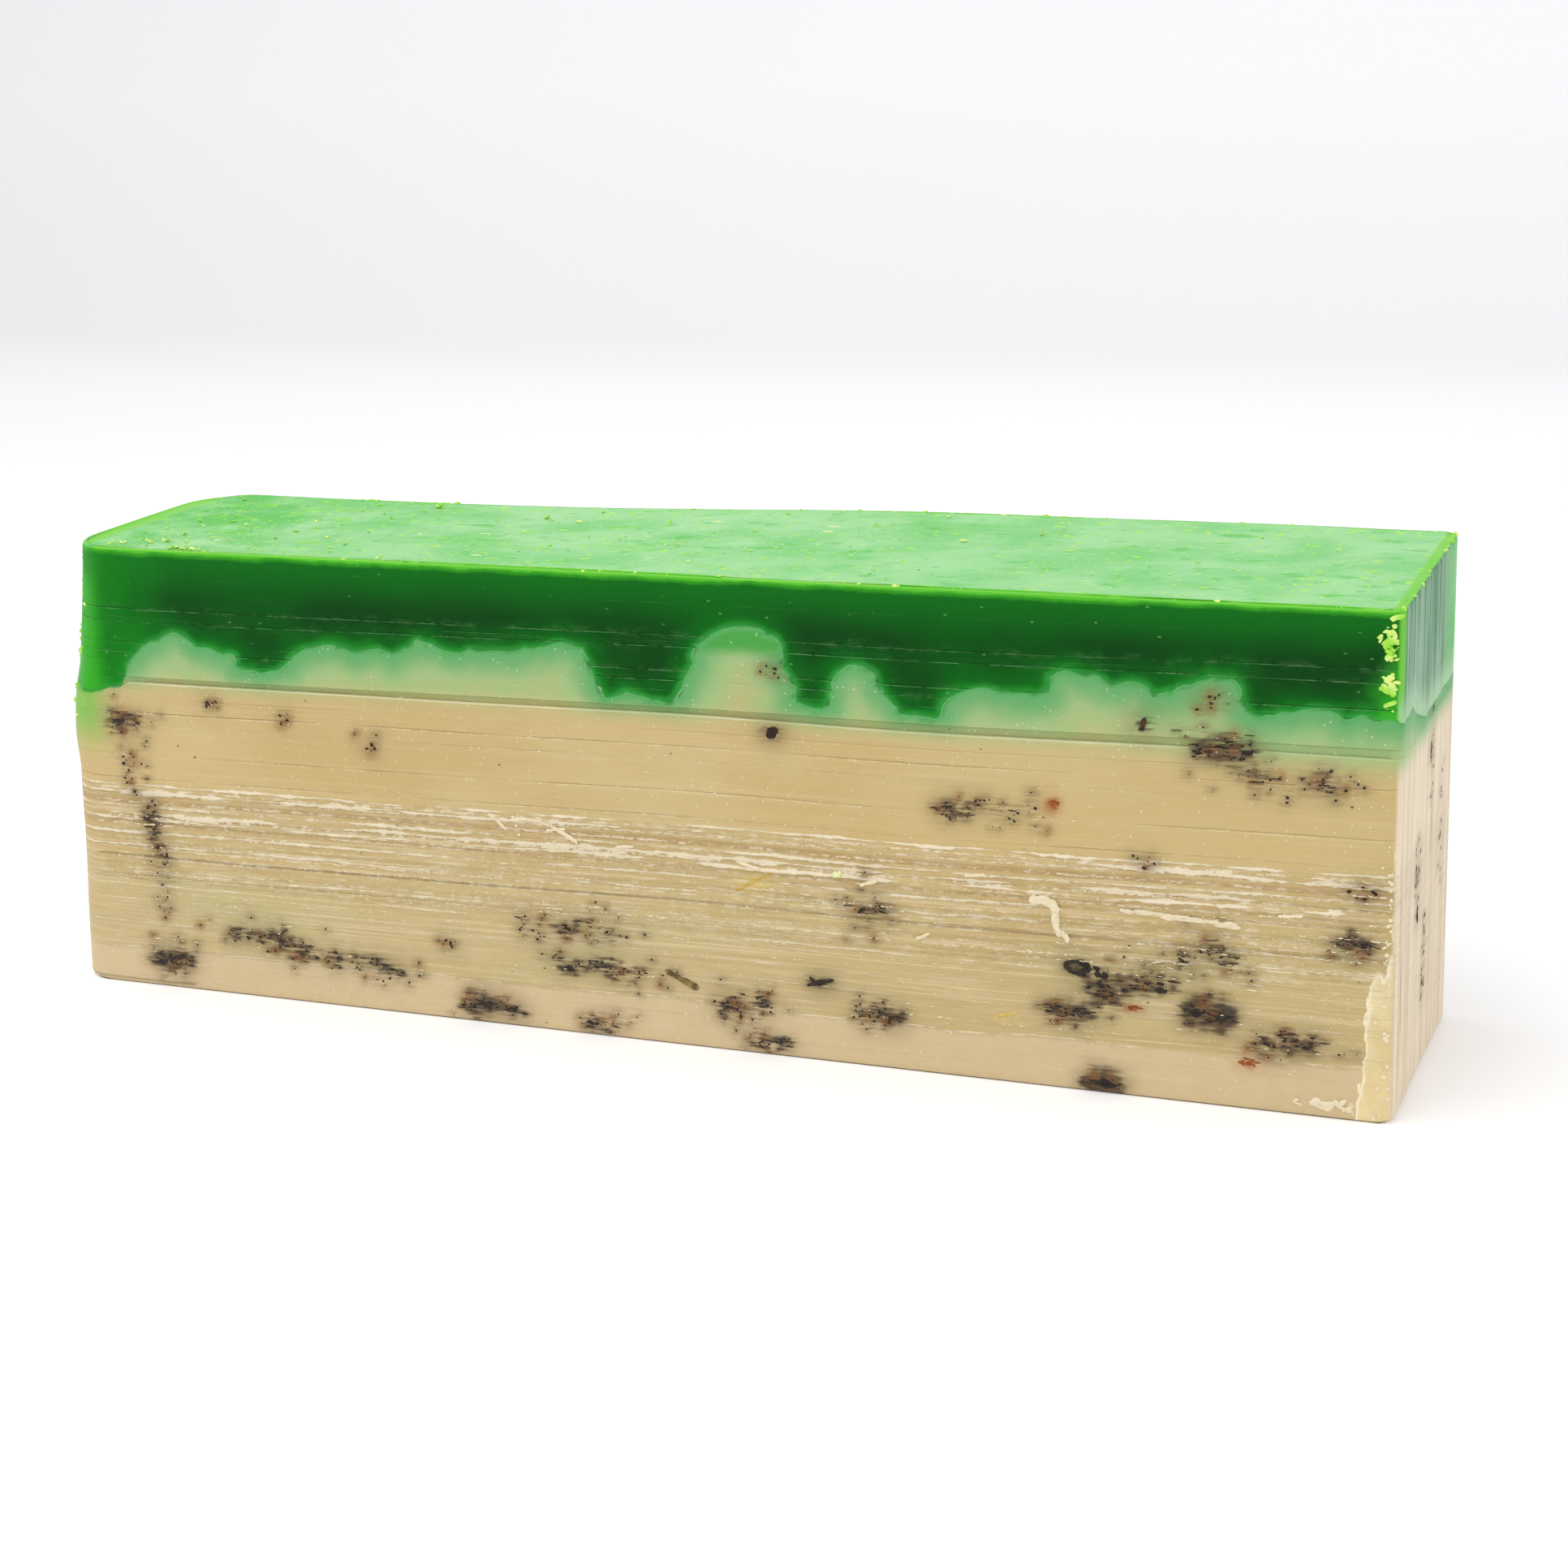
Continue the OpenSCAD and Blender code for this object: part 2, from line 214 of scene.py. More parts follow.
# Strips left by the planer: the height of each strip's lower edge at mid-length, in millimetres. The
# widest and deepest of them is the ledge just under the pour line.
LEDGE_HEIGHT, LEDGE_DEPTH = 64.0, 0.62
plain_edges = [3.1, 6.1, 44.6, 49.5, 55.5, 58.2, LEDGE_HEIGHT, 65.3, 70.4, 72.2, 76.6, 78.9]
fine_edges = list(6.1 + np.cumsum(rng.uniform(0.9, 2.1, 9)))
fine_edges += list(20.2 + np.cumsum(rng.uniform(0.55, 1.2, 18)))
fine_edges += [36.2, 37.3, 38.6, 39.8, 41.2, 42.3]
strip_edges = np.array(sorted(plain_edges + fine_edges))
strip_edges = strip_edges[np.insert(np.diff(strip_edges) > 0.45, 0, True)]
strip_count = len(strip_edges)
strip_slope = 0.0075 + rng.uniform(-0.0016, 0.0016, strip_count)
shared_wave = Wander(52.0, 31)
strip_wave = [Wander(rng.uniform(30, 60), 100 + k) for k in range(strip_count)]
lip_noise = [Wander(rng.uniform(0.8, 1.6), 300 + k) for k in range(strip_count)]
lip_patch = [Wander(rng.uniform(9, 22), 500 + k) for k in range(strip_count)]
rough_zone = np.array([0.25 + 0.75 * (smooth(20, 24, h) * (1 - smooth(42.5, 44, h))) for h in strip_edges])
lip_strength = rough_zone * rng.uniform(0.45, 1.0, strip_count)
lip_strength[(strip_edges > 36) & (strip_edges < 43)] = 1.15
strip_depth = rng.uniform(0.0, 0.34, strip_count + 1) * np.append(rough_zone, 0.4)
strip_tilt = rng.uniform(-0.12, 0.2, strip_count + 1) * np.append(rough_zone, 0.3)
ledge = int(np.argmin(abs(strip_edges - LEDGE_HEIGHT))) + 1
strip_depth[ledge] = LEDGE_DEPTH


def strip_height(k, s):
    return strip_edges[k] + strip_slope[k] * s + 0.3 * shared_wave(s) + 0.13 * strip_wave[k](s)


def strip_span(k):
    """The heights of the lower and the upper edge of strip k, all round the loaf."""
    return (strip_height(k - 1, loop_s) if k > 0 else np.zeros_like(loop_s),
            strip_height(k, loop_s) if k < strip_count else np.full_like(loop_s, HEIGHT))


# Each strip's rings of points lie close to its two edges, so that the steps stay crisp, with a few
# between them. A ring is its strip, the edge that it keeps to, and how far it is from that edge.
NEAR, LIP, ROOM_FOR_LIPS, RING_STEP = 0.05, 0.22, 0.8, 1.6
BASE_STEPS, TOP_STEPS = [0.0, 0.15, 0.5, 1.1], [1.4, 0.9, 0.5, 0.2, 0.0]
rings = []
for k in range(strip_count + 1):
    first, last = k == 0, k == strip_count
    room = (HEIGHT if last else strip_edges[k]) - (0 if first else strip_edges[k - 1])
    lips = [LIP] if room > ROOM_FOR_LIPS else []
    inner = max(1, min(6, int(room / RING_STEP)))
    rings += [(k, "up", gap) for gap in (BASE_STEPS if first else [NEAR] + lips)]
    rings += [(k, "part", (n + 1) / (inner + 1)) for n in range(inner)]
    rings += [(k, "down", gap) for gap in (TOP_STEPS if last else lips + [NEAR])]

face_noise, deep_noise = Wander(6.0, 7), Wander(38.0, 8)
sway_fine, sway_small = Wander(3.1, 14), Wander(1.4, 15)
end_lines, end_waves, back_wave = Wander(0.7, 9), Wander(4.5, 10), Wander(27.0, 12)


def ring_height(ring):
    """The height of one ring, all round the loaf, in millimetres."""
    k, kind, amount = ring
    low, high = strip_span(k)
    return low + amount if kind == "up" else high - amount if kind == "down" else low + (high - low) * amount


def face_inset(k, z):
    """How far strip k lies inside the flat block, how near its torn edges are, and its height at rest."""
    low, high = strip_span(k)
    part = np.clip((z - low) / np.maximum(high - low, 0.1), 0, 1)
    depth = strip_depth[k] * (smooth(-124, -112, loop_s) if k == ledge else 1)
    s = np.where(on_back, 400 - loop_s, loop_s)
    inset = depth + strip_tilt[k] * (1 - 2 * part)
    inset = inset + 0.10 * (1 + deep_noise(s + 40 * k)) * (0.3 + depth) + 0.012 * face_noise(s * 3 + 17 * k)
    lip, edge = np.zeros_like(s), np.zeros_like(s)
    for n, gap in ((k - 1, z - low), (k, high - z)):
        if 0 <= n < strip_count:
            torn = smooth(-0.15, 0.75, lip_noise[n](s) + 0.8 * lip_patch[n](s)) * lip_strength[n]
            lip = np.maximum(lip, torn * (1 - smooth(0.1, 0.32, gap)))
            edge = np.maximum(edge, lip_strength[n] * (1 - smooth(0.06, 0.36, gap)))
    rest_low = strip_edges[k - 1] if k > 0 else 0.0
    rest_high = strip_edges[k] if k < strip_count else HEIGHT
    return inset - 0.2 * lip, edge, rest_low + part * (rest_high - rest_low)


def shape_ring(ring, z):
    """The finished points of one ring held at heights z, how torn they are, and their rest heights."""
    x, y = outline(loop_u, loop_y, np.clip(z, 0, HEIGHT)), loop_y.copy()
    sway = 1.3 * sway_fine(z + 0.15 * x) + 0.8 * sway_small(z - 0.3 * x)
    sway = sway * smooth(59, 64, z) * (1 - smooth(82, 86, z)) * smooth(1, 9, HALF_LENGTH - abs(x))
    x = x + np.where(on_front | on_back, sway, 0)
    inset, lip, level = face_inset(ring[0], ring_height(ring))
    y = y + np.where(on_front, inset, 0) - np.where(on_back, inset * 0.8, 0)
    cut = 0.10 * end_lines(y) + 0.12 * end_waves(y)
    x = x - np.where(on_right, 0.12 + cut * smooth(0, 1.5, HALF_DEPTH - abs(y)), 0)
    x = x + np.where(on_left, 0.25 * (1 + back_wave(z * 2 + y)) * smooth(0, 6, HALF_DEPTH - abs(y)), 0)
    pull = corner_inset(z, EDGE_ROUND) + corner_inset(HEIGHT - z, TOP_ROUND)
    end_pull = pull + corner_inset(z, END_ROUND)
    x, y = x * (1 - end_pull / HALF_LENGTH), y * (1 - pull / HALF_DEPTH)
    return np.column_stack([x, y, z + top_rise(x, y, z)]), np.where(on_front | on_back, lip, 0), level


def write_values(mesh, key, values, kind="FLOAT"):
    """Stores one value or vector for each vertex, for materials and geometry nodes to read."""
    field = "value" if kind == "FLOAT" else "vector"
    mesh.attributes.new(key, kind, "POINT").data.foreach_set(field, np.array(values, dtype=np.float32).ravel())


PAST, HELD, MERGE, SLIVER = 0.01, 1e-6, 2e-6, 1e-7
pour_seam = np.zeros((len(loop), 3))
top_wave, top_ripple = Wander(30.0, 21), Wander(7.0, 22)


def top_height(i, j):
    x, y = pour_x[i, j], net_y[j]
    dip = 0.22 * smooth(0.8, 4.5, HALF_DEPTH - abs(y))
    return HEIGHT + 0.14 * top_wave(x + 2 * y) - dip + 0.05 * top_ripple(x * 0.7 - 3 * y)


def pour_mesh(name, is_green):
    """A closed mesh of one pour: its walls in rings, the lumpy pour line and the flat top or base."""
    shaped = []
    for ring in rings:
        z = ring_height(ring)
        if (z > loop_pour - PAST).any() if is_green else (z < loop_pour + PAST).any():
            shaped.append(shape_ring(ring, np.maximum(z, loop_pour) if is_green else np.minimum(z, loop_pour)))
    # A point on the pour line takes the depth of the strip that it runs through, so that both pours agree.
    best, seam_lip, seam_level = np.full(len(loop), 1e9), np.zeros(len(loop)), np.zeros(len(loop))
    for ring in rings:
        gap = abs(ring_height(ring) - loop_pour)
        nearer = gap < best
        best[nearer] = gap[nearer]
        for kept, made in zip((pour_seam, seam_lip, seam_level), shape_ring(ring, loop_pour)):
            kept[nearer] = made[nearer]
    for points, _, _ in shaped:
        held = abs(points[:, 2] - loop_pour - top_rise(points[:, 0], points[:, 1], loop_pour)) < HELD
        points[held] = pour_seam[held]
    shaped.insert(0 if is_green else len(shaped), (pour_seam, seam_lip, seam_level))
    verts, lips, levels = (list(np.concatenate(part)) for part in zip(*shaped))
    count, faces = len(loop), []
    top_ring = (len(shaped) - 1) * count
    for start in range(0, top_ring, count):
        for n in range(count):
            m = (n + 1) % count
            faces.append((start + n, start + m, start + count + m, start + count + n))

    def cap(ring_start, height_at, upward_face):
        index = {tuple(q): ring_start + n for n, q in enumerate(loop)}
        for i in range(1, COLUMNS):
            for j in range(1, ROWS):
                index[(i, j)] = len(verts)
                z = height_at(i, j)
                x, y = outline(net_u[i], net_y[j], z), net_y[j] * 0.985
                verts.append(np.array([x, y, z + top_rise(x, y, z)]))
                lips.append(0.0), levels.append(z)
        for i in range(COLUMNS):
            for j in range(ROWS):
                quad = (index[(i, j)], index[(i + 1, j)], index[(i + 1, j + 1)], index[(i, j + 1)])
                faces.append(quad if upward_face else quad[::-1])

    pour_height = lambda i, j: pour_line[i, j]
    cap(0, pour_height if is_green else lambda i, j: 0.0, False)
    cap(top_ring, top_height if is_green else pour_height, True)
    mesh = bpy.data.meshes.new(name)
    mesh.from_pydata([tuple(np.asarray(v) * MM) for v in verts], [], faces)
    write_values(mesh, "lip", lips)
    write_values(mesh, "level", levels)
    work = bmesh.new()
    work.from_mesh(mesh)
    bmesh.ops.remove_doubles(work, verts=work.verts, dist=MERGE)
    bmesh.ops.dissolve_degenerate(work, edges=work.edges, dist=SLIVER)
    work.to_mesh(mesh)
    work.free()
    mesh.shade_smooth()
    return mesh


cream_mesh, green_mesh = pour_mesh("cream_pour", False), pour_mesh("green_pour", True)


def add_piece(name, mesh, node, finish):
    """Links a finished piece with its material, lets it ride on the loaf, and hides the part that it stands in for."""
    if not mesh.materials:
        mesh.materials.append(finish.material)
    piece = bpy.data.objects.new(name, mesh)
    bpy.context.collection.objects.link(piece)
    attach(piece, "root")
    if node:
        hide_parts(node)


class Shade:
    """A shader socket that can be used in sums and products; each one adds its Math node."""

    def __init__(self, finish, socket):
        self.finish, self.socket = finish, socket

    def __add__(self, other):
        return self.finish.math("ADD", self, other)

    def __sub__(self, other):
        return self.finish.math("SUBTRACT", self, other)

    def __rsub__(self, other):
        return self.finish.math("SUBTRACT", other, self)

    def __mul__(self, other):
        return self.finish.math("MULTIPLY", self, other)

    __radd__, __rmul__ = __add__, __mul__


class Finish:
    """A material for one finish of this loaf, made of nodes, with coats of colour laid one on another."""

    def __init__(self, name):
        self.name, self.material = name, bpy.data.materials.new(name)
        self.material.use_nodes = True
        self.tree = self.material.node_tree
        self.place = self.node("ShaderNodeTexCoord", out="Object")

    def node(self, kind, settings=None, out=0, **values):
        made = self.tree.nodes.new(kind)
        for key, value in (settings or {}).items():
            setattr(made, key, value)
        for key, value in values.items():
            self.feed(made.inputs[int(key) if key.isdigit() else key.replace("_", " ")], value)
        return Shade(self, made.outputs[out])

    def feed(self, socket, value):
        if isinstance(value, Shade):
            self.tree.links.new(value.socket, socket)
        else:
            socket.default_value = srgb(value) if isinstance(value, str) else value

    def set(self, **values):
        for key, value in values.items():
            self.feed(self.tree.nodes["Principled BSDF"].inputs[key.replace("_", " ")], value)

    def parts(self, value, kind="XYZ"):
        """The three parts of a vector or a colour."""
        split = self.tree.nodes.new("ShaderNodeSeparate" + kind)
        self.feed(split.inputs[0], value)
        return [Shade(self, split.outputs[n]) for n in range(3)]

    def facing(self):
        """The parts of the surface's own direction along the loaf's length, depth and height."""
        return self.parts(self.node("ShaderNodeNewGeometry", out="Normal"))

    def math(self, operation, *values):
        return self.node("ShaderNodeMath", {"operation": operation}, **{str(n): v for n, v in enumerate(values)})

    def value(self, name):
        return self.node("ShaderNodeAttribute", {"attribute_name": name}, out="Fac")

    def moved(self, stretch, shift):
        return self.node("ShaderNodeMapping", Vector=self.place, Scale=stretch, Location=shift)

    def noise(self, scale, detail=2.0, rough=0.5, stretch=(1, 1, 1), shift=(0, 0, 0), out=0):
        return self.node("ShaderNodeTexNoise", Vector=self.moved(stretch, shift), Scale=scale, Detail=detail,
                         Roughness=rough, out=out)

    def blots(self, low, high, *cloud, **placed):
        return self.ramp(self.noise(*cloud, **placed), low, high)

    def drift(self, amount, *cloud):
        """A noise about nought, this much from end to end."""
        return (self.noise(*cloud) - 0.5) * amount

    def grain(self, across, along, detail, rough, scale=1.0):
        """A noise that follows the planed strips: fine across them and long along them."""
        at = self.node("ShaderNodeCombineXYZ", X=self.spot[0] * across, Y=self.spot[1] * across, Z=self.level * along)
        return self.node("ShaderNodeTexNoise", Vector=at, Scale=scale, Detail=detail, Roughness=rough)

    def channels(self, scales, detail, rough, stretch, apart=7):
        """Six unrelated noises from two textures."""
        made = []
        for scale, shift in zip(scales, (0, apart)):
            made += self.parts(self.noise(scale, detail, rough, stretch, (shift, 0, 0), "Color"), "Color")
        return made

    def dots(self, scale, size, share, stretch=(1, 1, 1), shift=(0, 0, 0)):
        """Round dots, one at most in each cell; share is how many of the cells have one."""
        near, cell = (self.node("ShaderNodeTexVoronoi", Vector=self.moved(stretch, shift), Scale=scale, out=out)
                      for out in (0, "Color"))
        return self.ramp(near, size, size * 0.45) * self.ramp(self.parts(cell, "Color")[0], share + 0.02, share)

    def ramp(self, value, low, high):
        """0 below low and 1 above high, smooth between; low may be the larger of the two."""
        if low > high:
            return 1.0 - self.ramp(value, high, low)
        return self.node("ShaderNodeMapRange", {"interpolation_type": "SMOOTHSTEP"}, Value=value,
                         From_Min=low, From_Max=high)

    def line(self, at, rest, half, soft):
        """1 on a level line at the given rest height, fading out at half plus soft millimetres from it."""
        return self.ramp(self.math("ABSOLUTE", at - rest), half + soft, half)

    def bump(self, strength, distance, height):
        return self.node("ShaderNodeBump", Strength=strength, Distance=distance, Height=height)

    def mix(self, factor, first, second):
        made = self.tree.nodes.new("ShaderNodeMix")
        made.data_type = "RGBA"
        for index, value in ((0, factor), (6, first), (7, second)):
            self.feed(made.inputs[index], value)
        return Shade(self, made.outputs[2])

    def coat(self, amount, colour):
        """Lays one more colour over the ones laid so far: none of it at 0, and nothing else at 1."""
        self.colour = self.mix(amount, self.colour, colour)


# Where each flake of dried leaf lies: in knots of overlapping flakes, in thin smears that the planer
# has drawn out of them, and as loose specks. All are in millimetres on the face that they show in.
FRONT, BACK, END = "front", "back", "end"
FAINT_CLUMPS = ["leaf_clump_" + place for place in ("base_mid", "centre", "base_centre", "right_edge")]
leaf_nodes = sorted(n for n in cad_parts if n.startswith("leaf_") and n != "leaf_stalk")
leaf_layout, warm_spots = {}, []
for number, node in enumerate(leaf_nodes):
    low, high = box_mm(node)
    face = END if high[0] > 131.5 else BACK if high[1] > 27 else FRONT
    first, last = (low[1], high[1]) if face == END else (low[0], high[0])
    width, rise = last - first, high[2] - low[2]
    draw = np.random.default_rng(900 + number)
    flakes = []

    def flake(along, up, length, height, tilt):
        flakes.append((face, along, max(0.6, up), length, height, tilt))

    if "specks" in node or "chain" in node:
        for n in range(7 if "specks" in node else 14):
            size = draw.uniform(0.14, 0.45)
            along, up = first + width * draw.uniform(-0.1, 1.1), low[2] + rise * draw.uniform(-0.1, 1.1)
            flake(along, up, size, size * draw.uniform(0.7, 1.1), draw.uniform(-1, 1))
            if n % 3 == 0:
                warm_spots.append((face, along, up))
    elif face == END:
        for n in range(13):
            size = draw.lognormal(-1.25, 0.5)
            flake(first + width * draw.uniform(0, 1), low[2] + rise * draw.uniform(0, 1), size * 0.6,
                  size * draw.uniform(1.0, 2.6), draw.normal(0, 0.1))
    else:
        packed = "clump" in node or "band" in node
        fullness = 0.62 if node in FAINT_CLUMPS else 0.98 if packed else 0.45 if "high" in node else 0.6
        knots = 3 if packed else 4
        for k in range(knots):
            core_x = first + width * (k + draw.uniform(0.2, 0.8)) / knots
            core_z = low[2] + rise * (draw.uniform(0.2, 0.8) if width > rise else 1 - (k + 0.5) / knots)
            strength = draw.uniform(0.45, 1.0) * fullness
            for n in range(int(15 * strength)):
                size = strength * draw.lognormal(-0.58, 0.42)
                flake(core_x + draw.normal(0, 0.36) * max(width / knots, 2.2),
                      core_z + draw.normal(0, 0.17) * min(rise, 5.0),
                      min(size * 1.15, 1.4), min(size * draw.uniform(0.35, 0.65), 0.7), draw.normal(0, 0.3))
            for n in range(int(6 * strength)):
                flake(core_x + draw.normal(0, 0.55) * width / knots, core_z + draw.normal(0, 0.3) * rise,
                      draw.uniform(0.6, 1.5), draw.uniform(0.06, 0.13), draw.normal(0, 0.05))
            for n in range(5 if packed else 8):
                size = draw.uniform(0.1, 0.26) * (1 if packed else 1.4)
                along, up = core_x + draw.normal(0, 0.8) * width / knots, core_z + draw.normal(0, 0.7) * rise
                flake(along, up, size, size * 0.8, draw.uniform(-1, 1))
                if n == 0:
                    warm_spots.append((face, along, up))
    leaf_layout[node] = flakes


def face_place(face, along, up, *_):
    return (HALF_LENGTH, along, up) if face == END else (along, -HALF_DEPTH if face == FRONT else HALF_DEPTH, up)


def place_tree(places):
    tree = KDTree(len(places))
    for n, p in enumerate(places):
        tree.insert(p, n)
    tree.balance()
    return tree


# What the materials read at each point: how far it is from the pour line, and how near dried leaf and
# petals. Leaf bleeds a dark stain close by, a wider grey one where it is crowded, and warm spots.
all_flakes = [f for flakes in leaf_layout.values() for f in flakes]
for node in ("curled_leaf", "single_leaf", "round_seed", "upright_seed"):
    low, high = box_mm(node)
    all_flakes += [(FRONT, low[0] + (high[0] - low[0]) * t, (low[2] + high[2]) / 2, 0.8, 0.7) for t in (0.1, 0.5, 0.9)]
flake_tree = place_tree([face_place(*f) for f in all_flakes])
warm_tree = place_tree([face_place(*w) for w in warm_spots])
flake_bulk = [f[3] * f[4] for f in all_flakes]
seam_step = np.roll(pour_seam, -1, axis=0) - pour_seam
seam_tree = place_tree(np.concatenate([pour_seam + seam_step * t for t in np.linspace(0, 1, 5)[:-1]]))
rust_nodes = ["rust_petal_large", "rust_petal_small", "rust_petal_high"]
SEARCH, STAIN_REACH, CROWD_REACH, WARM_REACH = 7.0, 1.25, 3.1, 0.9


def nearness(places, nodes, reach):
    """1 at the middle of a node's box and falling off from there, the strongest of all the nodes."""
    best = np.zeros(len(places))
    for node in nodes:
        low, high = box_mm(node)
        spread = (high - low) * 0.5 + reach
        best = np.maximum(best, np.exp(-2.2 * (((places - (low + high) / 2) / spread) ** 2).sum(axis=1)))
    return best


for mesh in (cream_mesh, green_mesh):
    flat = np.empty(len(mesh.vertices) * 3)
    mesh.vertices.foreach_get("co", flat)
    places = flat.reshape(-1, 3) / MM
    stain, crowd, warm = (np.zeros(len(places)) for _ in range(3))
    for n, p in enumerate(places):
        if abs(p[1]) < 26.5 and p[0] < 131.0:
            continue
        found = flake_tree.find_range(p, SEARCH)
        if found:
            gaps = np.array([f[2] for f in found])
            bulk = np.array([flake_bulk[f[1]] for f in found])
            stain[n] = math.exp(-(gaps.min() / STAIN_REACH) ** 2)
            crowd[n] = 1 - math.exp(-0.85 * float((bulk * np.exp(-(gaps / CROWD_REACH) ** 2)).sum()))
            warm[n] = math.exp(-(warm_tree.find(p)[2] / WARM_REACH) ** 2)
    write_values(mesh, "pour", [seam_tree.find(p)[2] for p in places])
    for key, values in (("stain", stain), ("crowd", crowd), ("warm", warm)):
        write_values(mesh, key, values)
    for key, nodes, reach in (("rust", rust_nodes, 1.0), ("yellow", ["yellow_petal", "yellow_strip"], 1.0),
                              ("murk", ["leaf_specks_green"], 2.6)):
        write_values(mesh, key, nearness(places, nodes, reach))

# ---------------------------------------------------------------------------------------------
# The cream base: opaque soap with clay and oils, warm cream where it is smooth, greyer where leaf
# has bled into it, mint where the green has, and torn pale along the edges of the planed strips.
c = Finish("cream_soap")
c.spot, c.level = c.parts(c.place), c.value("level")
across, level, face_x = c.spot[0], c.level, c.facing()[0]
clouds = c.noise(26, 3, 0.55, (1, 1, 2.0))
c.colour = c.mix(c.ramp(clouds, 0.34, 0.66), "#cab481", "#c4aa73")
c.coat(c.ramp(level, 30, 14) * c.ramp(clouds, 0.28, 0.6) * 0.5, "#c8b78c")
c.coat(c.ramp(level, 58, 44) * c.ramp(level, 30, 44) * c.blots(0.4, 0.62, 14, 2) * 0.5, "#ceb076")
c.coat(c.ramp(across, -0.04, 0.12) * 0.4, "#c2aa70")
olive = c.ramp(level, 32, 20) * c.blots(0.5, 0.68, 40, 3, 0.55, (0.7, 1, 1.6), (3, 0, 2))
c.coat(olive * 0.4, "#beba84")
streaks = c.grain(9.0, 1.0, 4.0, 0.62, 1.7)
fine_lines = c.grain(9.0, 1.0, 3.0, 0.6, 5.2)
moulded = c.ramp(face_x, -0.8, -0.97)
planed = 1.0 - moulded * 0.85
foot_line = level + c.drift(2.4, 46, 3, 0.6, (1, 1, 0.1))
ridged = (c.ramp(level, 44.5, 42.5) * 0.75 + 0.25) * planed * c.ramp(foot_line, 8.2, 9.2)
c.coat(c.ramp(foot_line, 9.0, 8.4) * 0.7, c.mix(c.noise(300, 4, 0.6), "#ccb48e", "#d8c29c"))
c.coat(c.ramp(streaks, 0.55, 0.7) * ridged * 0.5, "#baa070")
c.coat(c.ramp(streaks, 0.46, 0.34) * ridged * 0.4, "#e8d6ae")
c.coat(c.ramp(fine_lines, 0.6, 0.72) * ridged * 0.45, "#a2885c")
c.coat(c.ramp(fine_lines, 0.4, 0.3) * ridged * 0.5, "#f0e2c0")
# Painted shade: the recessed ledge strip just under the pour line and the crease at its top edge are darkened.
c.coat(c.line(level, 64.65, 0.45, 0.25) * 0.7, "#ac9456")
c.coat(c.line(level, 65.25, 0.02, 0.12) * 0.6, "#7c6638")
c.coat(c.line(level, 63.85, 0.06, 0.12) * 0.75, "#eee2bc")
there = c.channels((26, 33), 2, 0.5, (1, 1, 0.1))
frayed = c.channels((420, 330), 3, 0.7, (1, 1, 0.3))
plain_lines = ((60.9, 0.3), (58.2, 0.75), (55.5, 0.45), (49.5, 0.6), (44.6, 0.6), (70.4, 0.6), (72.2, 0.6))
for n, (rest, strength) in enumerate(plain_lines):
    seen = c.ramp(there[n % 6], 0.36, 0.6) * planed
    c.coat(c.line(level, rest + 0.1, 0.03, 0.12) * seen * strength, "#8a6c3e")
    torn_edge = c.ramp(frayed[n % 6], 0.46, 0.62) * seen
    c.coat(c.line(level, rest - 0.15, 0.03, 0.13) * torn_edge * strength * 0.8, "#ecdeb8")
rag = c.grain(380, 1.1, 4.0, 0.75)
torn = c.value("lip") * c.ramp(rag, 0.46, 0.58) * 0.8
# The sunken bands near 39.9 and 35.0 mm: this mask sinks the bump and also paints shade into the colour.
sunk_and_shaded = c.line(level, 39.9, 0.35, 0.35) + c.line(level, 35.0, 0.2, 0.3) * 0.6
drifts = c.channels((42, 37), 2, 0.6, (1, 1, 0), 9)
patches = c.channels((52, 44), 3, 0.6, (1, 1, 0.05), 9)
torn_lines = ((43.1, 0.62), (41.6, 0.95), (38.6, 0.6), (37.3, 1.1), (36.2, 0.7), (33.4, 0.45), (30.6, 0.34),
              (28.4, 0.25), (25.2, 0.3), (22.3, 0.25), (18.0, 0.18), (14.5, 0.18))
for n, (rest, thick) in enumerate(torn_lines):
    off = level - rest - (drifts[n % 6] - 0.5) * 1.3
    wide = c.ramp(patches[(n * 5 + n // 6) % 6], 0.36, 0.66) * (rag * 2.4 - 0.62) * thick
    # Painted shadow just under each torn line.
    shade = c.ramp(c.math("ABSOLUTE", off + wide + 0.22), 0.3, 0.05) * c.ramp(wide, 0.02, 0.2)
    sunk_and_shaded = sunk_and_shaded + shade * 0.6
    torn = torn + c.ramp(wide - c.math("ABSOLUTE", off), -0.02, 0.07) * 0.95
foot_edge = c.line(foot_line, 8.9, 0.06, 0.22) * c.ramp(patches[1], 0.3, 0.55) * c.ramp(rag, 0.4, 0.56)
torn = c.math("MINIMUM", torn + foot_edge * 0.8, 1.0) * planed
sunk_and_shaded = c.math("MINIMUM", sunk_and_shaded, 1.0) * planed
# Painted shade over the sunken bands and under the torn lines.
c.coat(sunk_and_shaded * 0.62, "#ac8c5c")
c.coat(torn * 0.86, c.mix(c.noise(900, 3), "#f6ecd4", "#e6d7b4"))
end_at = c.ramp(face_x, 0.55, 0.85)
drag = c.noise(760, 4, 0.65, (1, 1, 0.02))
end_body = c.mix(c.ramp(drag, 0.42, 0.62), "#e9d9be", "#d8c4a2")
end_body = c.mix(c.blots(0.6, 0.72, 320, 3, 0.7, (1, 1, 0.05), (4, 0, 0)) * 0.6, end_body, "#a48660")
c.coat(end_at, end_body)
chipped = c.noise(150, 4, 0.7, (1, 1, 0.45))
worn_at = across * 1000 + c.ramp(level, 46, 14) * 4.6 + c.ramp(level, 14, 2) * 3.0 + (chipped - 0.5) * 10.0
worn = c.ramp(worn_at, 132.0, 132.5) * (1.0 - end_at)
worn = worn * c.ramp(level, 62, 50)
